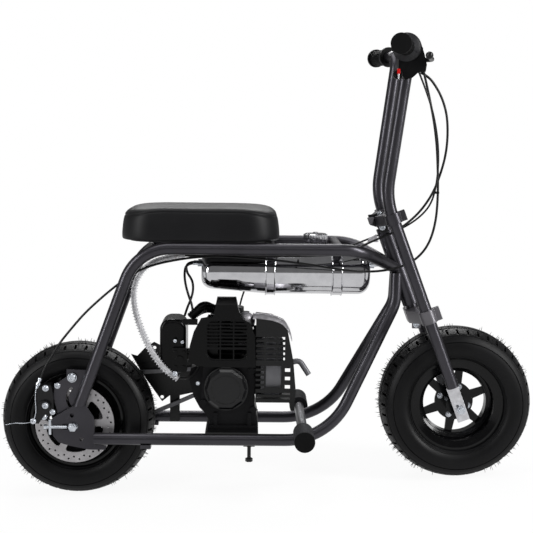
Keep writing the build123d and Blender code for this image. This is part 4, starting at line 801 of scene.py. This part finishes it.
def head_pattern(name, radius, height, recess, washer):
    """A screw head with a round recess, on its washer."""
    profile = [(0, height - recess), (radius * 0.5, height - recess), (radius * 0.5, height),
               (radius * 0.88, height), (radius, height - radius * 0.12), (radius, 1.4), (washer, 1.2),
               (washer, 0), (0, 0)]
    return spun(name, profile, ORIGIN, SKY, ROUND_STEPS)


def nut_pattern(name, radius, height, stud, washer):
    """A hexagon nut on its washer, with the end of the stud standing out of it."""
    hexagon = spun(name + "_hexagon", [(0, 1.2), (radius * 0.96, 1.2), (radius, 2), (radius, height - 1.2),
                                       (radius * 0.9, height), (0, height)], ORIGIN, SKY, 6)
    core = spun(name + "_stud", [(0, 0), (washer, 0), (washer, 1.3), (stud, 1.3), (stud, height + 3),
                                 (stud - 1, height + 4), (0, height + 4)], ORIGIN, SKY, ROUND_STEPS)
    return joined(name, [hexagon, core])


HAIR_LENGTH = 6.4
SCREW = head_pattern("screw_pattern", 5.0, 3.6, 2.2, 6.9)
BOLT = head_pattern("bolt_pattern", 7.6, 4.4, 1.6, 9.6)
NUT = nut_pattern("nut_pattern", 8.6, 7.0, 4.6, 9.6)
HAIR = spun("hair_pattern", [(0.62, -1), (0.5, 3), (0.26, 6), (0, HAIR_LENGTH)], ORIGIN, SKY, 5)


def on_right(*places):
    """Places that face right, each given as (u, y, w, turn in degrees, size)."""
    return [(at(u, y, w), RIGHT, turn, size) for u, y, w, turn, size in places]


def wheel_way(turn):
    """The direction at a turn about a wheel's axle."""
    return FORWARD * cos(turn) + SKY * sin(turn)


def round_axle(axle, hand, radius, reach, angles, size):
    """Places on a circle round an axle, at a reach to one hand."""
    return [(axle + wheel_way(radians(angle)) * radius * MM + LEFT * hand * reach * MM, LEFT * hand, angle, size)
            for angle in angles]


# Silver fasteners: four nuts at the front hub and six screws at the rear, at these angles in degrees
FOUR = range(68, 360, 90)
SIX = range(15, 360, 60)
copies("frame_screws", SCREW, on_right(
    (-57, -96, 82, 10, 1.0), (-33.7, -87.5, 85.7, 40, 0.92), (-43, -96, 31, 0, 0.86), (-61, -96, 20.5, 70, 0.95),
    (-56.7, -104, 46.3, 0, 0.95), (-83, -100, 12, 25, 0.9)), "frame")
copies("bracket_bolt", BOLT, on_right((-2, -91.5, 104, 20, 1.05)), "frame")
copies("front_hub_nuts", NUT, [place for hand in SIDES.values() for place in
                               round_axle(FRONT_AXLE, hand, 32.5, 3, FOUR, 0.66)], "front_wheel")
copies("disc_screws", SCREW, round_axle(REAR_AXLE, -1, 25, 73.8, SIX, 0.9), "rear_wheel")
copies("sprocket_screws", SCREW, round_axle(REAR_AXLE, 1, 25, 77.8, SIX, 0.9), "rear_wheel")
copies("clamp_screws", SCREW, [(fork(20.5, 102, s), LEFT, 30, 0.8) for s in (433, 214)], "steering")

# Seat: a moulded foam cushion under tight vinyl, with a seam round its top panel
SEAT_U = 265.5
SEAT_HALF_LENGTH = 167
SEAT_HALF_WIDTH = 106
SEAT_CORNER = 68
SEAT_CORNER_LOSS = 0.72
SEAT_TOP_INSET = 20
SEAT_CROWN = 3.0
SEAT_WAVE = 0.4
CORNER_STEPS = 12
SIDE_STEPS = 10
# Rings from the underside up to the middle of the top: inset, height at the sides, height at the ends
SEAT_PROFILE = [
    (14, 397.3, 397.3), (10, 397.2, 397.2), (7.4, 396.2, 396.2), (5.4, 395.1, 395.1), (2.6, 395.2, 395.2),
    (0.8, 397.2, 397), (0.1, 402, 401), (0.1, 412, 409), (0.9, 424, 419), (2.0, 435, 429), (3.2, 444, 436.5),
    (4.4, 450.6, 441.6), (5.2, 453.6, 444.0), (6.9, 454.9, 445.1), (7.1, 455.7, 445.9), (5.9, 456.8, 447.0),
    (6.8, 459.0, 449.6), (9.6, 461.6, 453.6), (15, 464.0, 458.4), (24, 466.0, 462.6), (38, 467.3, 465.6),
    (58, 468.0, 467.4), (84, 468.2, 468.0),
]


def rounded_rectangle(half_length, half_width, radius):
    """Points round a rectangle with round corners, always the same number of them."""
    points = []
    for corner, (x_sign, y_sign) in enumerate(((1, 1), (-1, 1), (-1, -1), (1, -1))):
        x = x_sign * (half_length - radius)
        y = y_sign * (half_width - radius)
        for step in range(CORNER_STEPS + 1):
            turn = pi / 2 * (corner + step / CORNER_STEPS)
            points.append((x + radius * cos(turn), y + radius * sin(turn)))
        for step in range(1, SIDE_STEPS):
            share = 1 - 2 * step / SIDE_STEPS
            points.append((x_sign * half_length, y * share) if corner % 2 else (x * share, y_sign * half_width))
    return points


def make_seat():
    """The cushion, ring by ring, with crowned sides and a faint wave in its top."""
    levels = []
    for inset, side_w, end_w in SEAT_PROFILE:
        half = SEAT_HALF_LENGTH - inset
        ring = rounded_rectangle(half, SEAT_HALF_WIDTH - inset, SEAT_CORNER - inset * SEAT_CORNER_LOSS)
        level = []
        for x, y in ring:
            share = min(max((abs(x) / half - 0.5) / 0.5, 0), 1)
            share = share * share * (3 - 2 * share)
            crown = SEAT_CROWN * (y / SEAT_HALF_WIDTH) ** 2 if inset > SEAT_TOP_INSET else 0
            depth = min(inset, SEAT_TOP_INSET) / SEAT_TOP_INSET
            wave = SEAT_WAVE * sin(x * 0.031 + 1.1) * sin(y * 0.043 + 0.4) * depth
            level.append((x, y, side_w + (end_w - side_w) * share - crown - wave))
        levels.append(level)
    count = len(levels[0])
    points = [at(SEAT_U + x, y, w) for level in levels for x, y, w in level]
    faces = [(k * count + i, k * count + (i + 1) % count, (k + 1) * count + (i + 1) % count, (k + 1) * count + i)
             for k in range(len(levels) - 1) for i in range(count)]
    faces += [tuple(range(count)), tuple(reversed(range((len(levels) - 1) * count, len(levels) * count)))]
    seat = mesh_piece("seat_pad", points, faces)
    smooth = seat.modifiers.new("soften", "SUBSURF")
    smooth.levels = smooth.render_levels = 1
    seat = dressed(applied(seat), "frame", VINYL)
    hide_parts("seat_cushion")


make_seat()

# Clear tube with fins round the sleeve's upper length
CLEAR_LENGTH = [at(*point) for point in CABLE_SLEEVE[:13]]
dressed(applied(smooth_line("clear_tube", CLEAR_LENGTH, 5.6)), "frame", SLEEVE)
rings("sleeve_fins", CLEAR_LENGTH, 8.2, 0.45, 6.5, FIN_PLASTIC, "frame")

# Grips: moulded rings, an end face and an inner flange, from the bar's bend to its tip
FLANGE_R = {"right": 28.6, "left": 22.6}
GRIP_LENGTH = 77
GRIP_END = [(0, 1.0), (3, 1.0), (5, 2.6), (14, 3.1), (18.5, 2.6), (20.3, 0.6), (20.3, -3), (0, -3)]
for name, hand in SIDES.items():
    bend = at(692, hand * 104, 792)
    tip = at(658.4, hand * 230, 794.6)
    outward = (tip - bend).normalized()
    rings("grip_ribs_" + name, [tip - outward * length * MM for length in (72, 40, 4)], 18.0, 2.6, 5.6, RUBBER,
          "steering")
    dressed(spun("grip_end_" + name, GRIP_END, tip, outward, 40), "steering", RUBBER)
    reach = FLANGE_R[name]
    profile = [(17.2, 15), (18.5, 13.6), (reach - 6, 7.5), (reach - 1.6, 3), (reach, 1.2), (reach - 0.4, -1.2),
               (17, -1.2)]
    flange = spun("grip_flange_" + name, profile, tip - outward * GRIP_LENGTH * MM, outward, 48, True)
    dressed(flange, "steering", FLANGE_PLASTIC)

# Throttle housing: the kill switch on its boss, and eight upright ribs
dressed(spun("switch_boss", [(0, 0), (9.6, 0), (9.6, 4), (8.6, 5.2), (6.6, 5.4), (6.0, 4.2), (0, 4.2)],
             at(663.6, -139.5, 739.6), RIGHT, 40), "steering", SWITCH_PLASTIC)
flat_part("kill_switch", corners(-3.3, -5.2, 3.3, 5.2), 7, at(665, -147, 746), 1.4, "steering", RED,
          across=-ALONG, segments=3)
flat_part("switch_track", corners(-1.6, -5.5, 1.6, 5.5), 5, at(665, -145, 736), 0.7, "steering", DULL_ZINC,
          -ALONG)
RIB_PITCH = 5.2
for k in range(8):
    outline = corners(-1.1, 764 - 0.6 * k, 1.1, 806 - abs(k - 3) * 3)
    flat_part(f"housing_rib_{k}", outline, 1.8, at(676 + RIB_PITCH * k, -139.8, 0), 0.6, "steering", SWITCH_PLASTIC,
              across=-ALONG)


TIE_THICK = 1.1
TIE_STEPS = 32


def tie(name, centre, axis, half_across, half_over, width, body):
    """A flat cable tie round a pair of cables, with its lock on top."""
    across, over = square_to(axis)
    points, faces = [], []
    for step in range(TIE_STEPS):
        turn = 2 * pi * step / TIE_STEPS
        for grow, along in ((0, -1), (TIE_THICK, -1), (TIE_THICK, 1), (0, 1)):
            points.append(centre + (across * (half_across + grow) * cos(turn) + over * (half_over + grow) * sin(turn)
                                    + axis * along * width / 2) * MM)
    for step in range(TIE_STEPS):
        here, there = step * 4, (step + 1) % TIE_STEPS * 4
        faces += [(here + k, here + (k + 1) % 4, there + (k + 1) % 4, there + k) for k in range(4)]
    strap = mesh_piece(name, points, faces)
    lock = plate(name + "_lock", corners(-2.6, -2.2, 2.6, 2.6), 4.2,
                 centre + over * (half_over - 0.5) * MM - axis * 2.1 * MM, across, over)
    dressed(joined(name, [strap, lock]), body, SWITCH_PLASTIC)


tie("tie_top_tube", at(470.8, -83, 353.5), ALONG, 3.6, 3.4, 3.6, "frame")
tie("tie_stay", at(119, -83, 320), (ALONG * 0.8 + UPRIGHT * 0.6).normalized(), 3.4, 3.4, 3.4, "frame")
tie("tie_fork", at(758.5, -70, 500), UPRIGHT, 5.5, 12, 3.6, "steering")

# Bare brake wire from the adjuster to the lever arm, its tail, and the adjuster's barrel
for name, radius, route in (
        ("brake_wire", 0.9, [(-71, -91, 96), (-77, -99, 84), (-78, -103.2, 60), (-75, -104, 30), (-82, -103.4, 12)]),
        ("wire_tail", 0.8, [(-82, -103.4, 12), (-98, -104, 7), (-124, -103, 9), (-140, -102, 4)])):
    dressed(applied(smooth_line(name, [at(*point) for point in route], radius)), "frame", ZINC)
BARREL_FOOT = at(-75.4, -95, 82)
BARREL_HEAD = at(-70.5, -89.6, 98)
BARREL_PROFILE = [(0, 0), (3.2, 0), (3.2, 5), (5.4, 5.6), (5.4, 11), (3.4, 11.6), (3.4, 17), (4.4, 17.4), (4.4, 21),
                  (0, 21)]
dressed(spun("cable_adjuster", BARREL_PROFILE, BARREL_FOOT, BARREL_HEAD - BARREL_FOOT, 20), "frame", ZINC)

# Plates and screws at the steering head
flat_part("clamp_ear", [(-9, -9), (9, -9), (12, 16), (-10, 20)], 3, at(730.2, -24.5, 213.4), 1.0, "steering",
          CLAMP_PAINT)
flat_part("stem_bracket", [(-22, 12), (-17, -10), (-2, -14), (8, -26), (22, -26), (22, 14), (4, 20), (-8, 14)], 3,
          at(643, -23.2, 437), 1.0, "steering", BLACK_PAINT)
flat_part("cable_arm", [(-24, 6), (-19, -8), (-12, -9), (-8, 8)], 5, at(643, -26.5, 437), 1.2, "steering",
          CLAMP_PAINT)
copies("head_screws", SCREW, on_right(
    (730.2, -27.5, 213.4, 0, 1.0), (652.6, -26.2, 423, 30, 1.0), (655, -26.2, 443, 0, 0.9),
    (645.5, -26.2, 452, 60, 0.7), (638, -26.2, 437, 10, 0.55)), "steering")
flat_part("head_gusset", [(-11, -7), (-9, 0), (8, 10), (13, -7)], 6, at(634, -3, 396), 1.0, "frame", GUSSET_PAINT)


# The tank's belly rises towards its rear end, and the hood's roof falls away behind its front edge
def reshaped(node, name, cut, move):
    """A copy of a node, cut across at one station and with its points moved."""
    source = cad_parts[node]
    work = bmesh.new()
    work.from_mesh(source.data)
    work.transform(source.matrix_world)
    parts = work.verts[:] + work.edges[:] + work.faces[:]
    bmesh.ops.bisect_plane(work, geom=parts, plane_co=cut[0], plane_no=cut[1])
    work.verts.index_update()
    points = [move(vertex.co.copy()) for vertex in work.verts]
    faces = [tuple(vertex.index for vertex in face.verts) for face in work.faces]
    work.free()
    return mesh_piece(name, points, faces)


TANK_W = 323.5
TANK_R = 50 * MM
BELLY_START = at(400, 0, TANK_W)
BELLY_RISE = 10.5 * MM
BELLY_LENGTH = 112 * MM
ROOF_START = at(322, -61, 236)
ROOF_EDGE = 3 * MM
ROOF_LEFT = 0.2


def raise_belly(point):
    """Lifts a point below the tank's middle, the more the nearer it is to the rear."""
    under = BELLY_START.z - point.z
    if under > 0:
        point.z += BELLY_RISE * min(max((BELLY_START.x - point.x) / BELLY_LENGTH, 0), 1) * under / TANK_R
    return point


def drop_roof(point):
    """Leaves only a share of the roof's height behind the hood's edge."""
    if point.z > ROOF_START.z and point.y > ROOF_START.y + ROOF_EDGE:
        point.z = ROOF_START.z + (point.z - ROOF_START.z) * ROOF_LEFT
    return point


tank = reshaped("fuel_tank", "tank_shell", (BELLY_START, ALONG), raise_belly)
dressed(tank, "frame", CHROME)
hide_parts("fuel_tank")
shroud = reshaped("fan_shroud", "shroud_shell", (ROOF_START, LEFT), drop_roof)
dressed(shroud, "frame", PLASTIC)
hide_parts("fan_shroud")

# Rolled edges on the tank's straps
for name, u, half in (("rear", 414, 11), ("front", 557, 11.5)):
    rolled = [(50.2, half), (52.4, half), (52.9, half - 1), (52.4, half - 2.2), (51.2, half - 3)]
    profile = [(radius, -along) for radius, along in rolled] + [(51.0, 0)] + rolled[::-1]
    dressed(spun("tank_band_" + name, profile, at(u, 0, TANK_W), ALONG, 96, True), "frame", CHROME)

# End caps of the foot pegs
PEG_REACH = 202
PEG_CAP = [(0, -0.2), (12, 0), (18.6, 0.9), (20.6, 0.6), (21.4, -0.8), (21.4, -4), (0, -4)]
for name, hand in SIDES.items():
    end = middle("peg_bar") + LEFT * hand * PEG_REACH * MM
    dressed(spun("peg_cap_" + name, PEG_CAP, end, LEFT * hand, 48), "frame", CAP_RUBBER)

# Heat shield: the line of its strip over the guard, its rows across, its front lip and its two faces
SHIELD_LINE = [(377, 233.4), (396, 232.8), (418, 230.2), (430, 226.4), (441, 221.2), (448, 213.4), (456, 199),
               (459.6, 186)]
SHIELD_ROWS = (-82, -78, -60, -44, -30)
SHIELD_LIP = 3.5
SHIELD_FACES = (0.6, 2.6)
DOME_PROFILE = [(0, 20.6), (6, 20), (12, 17.4), (16.5, 13), (19, 7.5), (20.2, 0), (20.2, -8), (19, -8), (0, -8)]


def make_heat_shield():
    """A bent strip over the guard, and the dome over the outlet beside the hood."""
    points, faces = [], []
    for offset in SHIELD_FACES:
        for y in SHIELD_ROWS:
            drop = SHIELD_LIP if y == SHIELD_ROWS[0] else 0
            points += [at(u + offset * 0.5, y, w + offset - drop) for u, w in SHIELD_LINE]
    count, layer = len(SHIELD_LINE), len(SHIELD_LINE) * len(SHIELD_ROWS)
    for k in range(layer - count):
        if k % count < count - 1:
            faces.append((k, k + 1, k + count + 1, k + count))
            faces.append(tuple(layer + i for i in (k, k + count, k + count + 1, k + 1)))
    for k in range(count - 1):
        faces.append((k, k + 1, layer + k + 1, layer + k))
        last = layer - count + k
        faces.append((last, last + 1, layer + last + 1, layer + last))
    for k in range(len(SHIELD_ROWS) - 1):
        for side in (0, count - 1):
            here = k * count + side
            faces.append((here, here + count, layer + here + count, layer + here))
    strip = mesh_piece("shield_strip", points, faces)
    facing = (UPRIGHT * 0.8 + ALONG * 0.5 - LEFT * 0.2).normalized()
    dome = spun("shield_dome", DOME_PROFILE, at(362, -52, 220.5), facing, 48)
    return joined("exhaust_shield", [strip, dome])


shield = dressed(make_heat_shield(), "frame", SHIELD_STEEL)
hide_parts("heat_shield")

# Muffler: cooling slats behind the guard's slots, and its dark side
SLAT_PITCH = 10.4
for k in range(5):
    low = 141 + SLAT_PITCH * k
    flat_part(f"muffler_slat_{k}", corners(386, low, 442, low + 6), 3, at(0, -72, 0), 0.8, "frame", MUFFLER_STEEL)
flat_part("muffler_side", corners(379, 62, 398, 212), 3, at(0, -46, 0), 0.8, "frame", CASTING)

# Liners that close the hood behind its edges
flat_part("shroud_liner_right", [(330, 205), (367, 205), (367, 224), (354, 236), (330, 236)], 2, at(0, -78, 0), 0.5,
          "frame", PLASTIC)
flat_part("shroud_liner", [(277, 132), (304, 132), (304, 236), (283, 236), (277, 224)], 2, at(0, -58, 0), 0.5,
          "frame", PLASTIC)

# Carburettor: screws, and the rings of the plug's boot
copies("carburettor_screws", SCREW, on_right(
    (213.4, -75.5, 181.4, 15, 0.55), (228.8, -75.5, 179.0, 70, 0.5), (213.6, -75.5, 111.0, 40, 0.8),
    (262.5, -86, 93.0, 10, 0.6)), "frame")
rings("boot_rings", [at(298, -20, 240), at(272, -30, 254), at(246, -39, 228)], 10.4, 2.2, 4.6, PLASTIC, "frame")

# Rubber hairs that moulding leaves on the tread
TREAD_R = 165.0
TREAD_ROUND = 0.0044
TREAD_HALF = 46
HAIR_ROOT = 0.8
HAIR_TIP = 6.6
HAIR_CLUSTERS = 64
HAIR_GROUND = 0.006


def make_hairs(wheel, axle, seed):
    """Hairs in clusters round a tyre, clear of the ground and inside the object's length."""
    draw = random.Random(seed)
    places = []
    for _ in range(HAIR_CLUSTERS):
        cluster_turn = draw.uniform(0, 2 * pi)
        for _ in range(draw.randint(3, 8)):
            out = wheel_way(cluster_turn + draw.gauss(0, 0.07))
            y = draw.choice((-1, 1)) * draw.uniform(2, TREAD_HALF)
            radius = TREAD_R - y * y * TREAD_ROUND - HAIR_ROOT
            lean = (out + LEFT * draw.uniform(-0.3, 0.3) + out.cross(LEFT) * draw.uniform(-0.35, 0.35)).normalized()
            length = draw.uniform(0.7, 1.75)
            root = axle + (out * radius + LEFT * y) * MM
            end = root + lean * HAIR_TIP * length * MM
            if end.z >= GROUND + HAIR_GROUND and CAD_BOX[0][0] <= end.x <= CAD_BOX[1][0]:
                places.append((root, lean, 0, (1, 1, length)))
    copies("tyre_hairs_" + wheel, HAIR, places, wheel, TYRE)


make_hairs("front_wheel", FRONT_AXLE, 5)
make_hairs("rear_wheel", REAR_AXLE, 8)

for pattern in (SCREW, BOLT, NUT, HAIR):
    bpy.data.objects.remove(pattern)
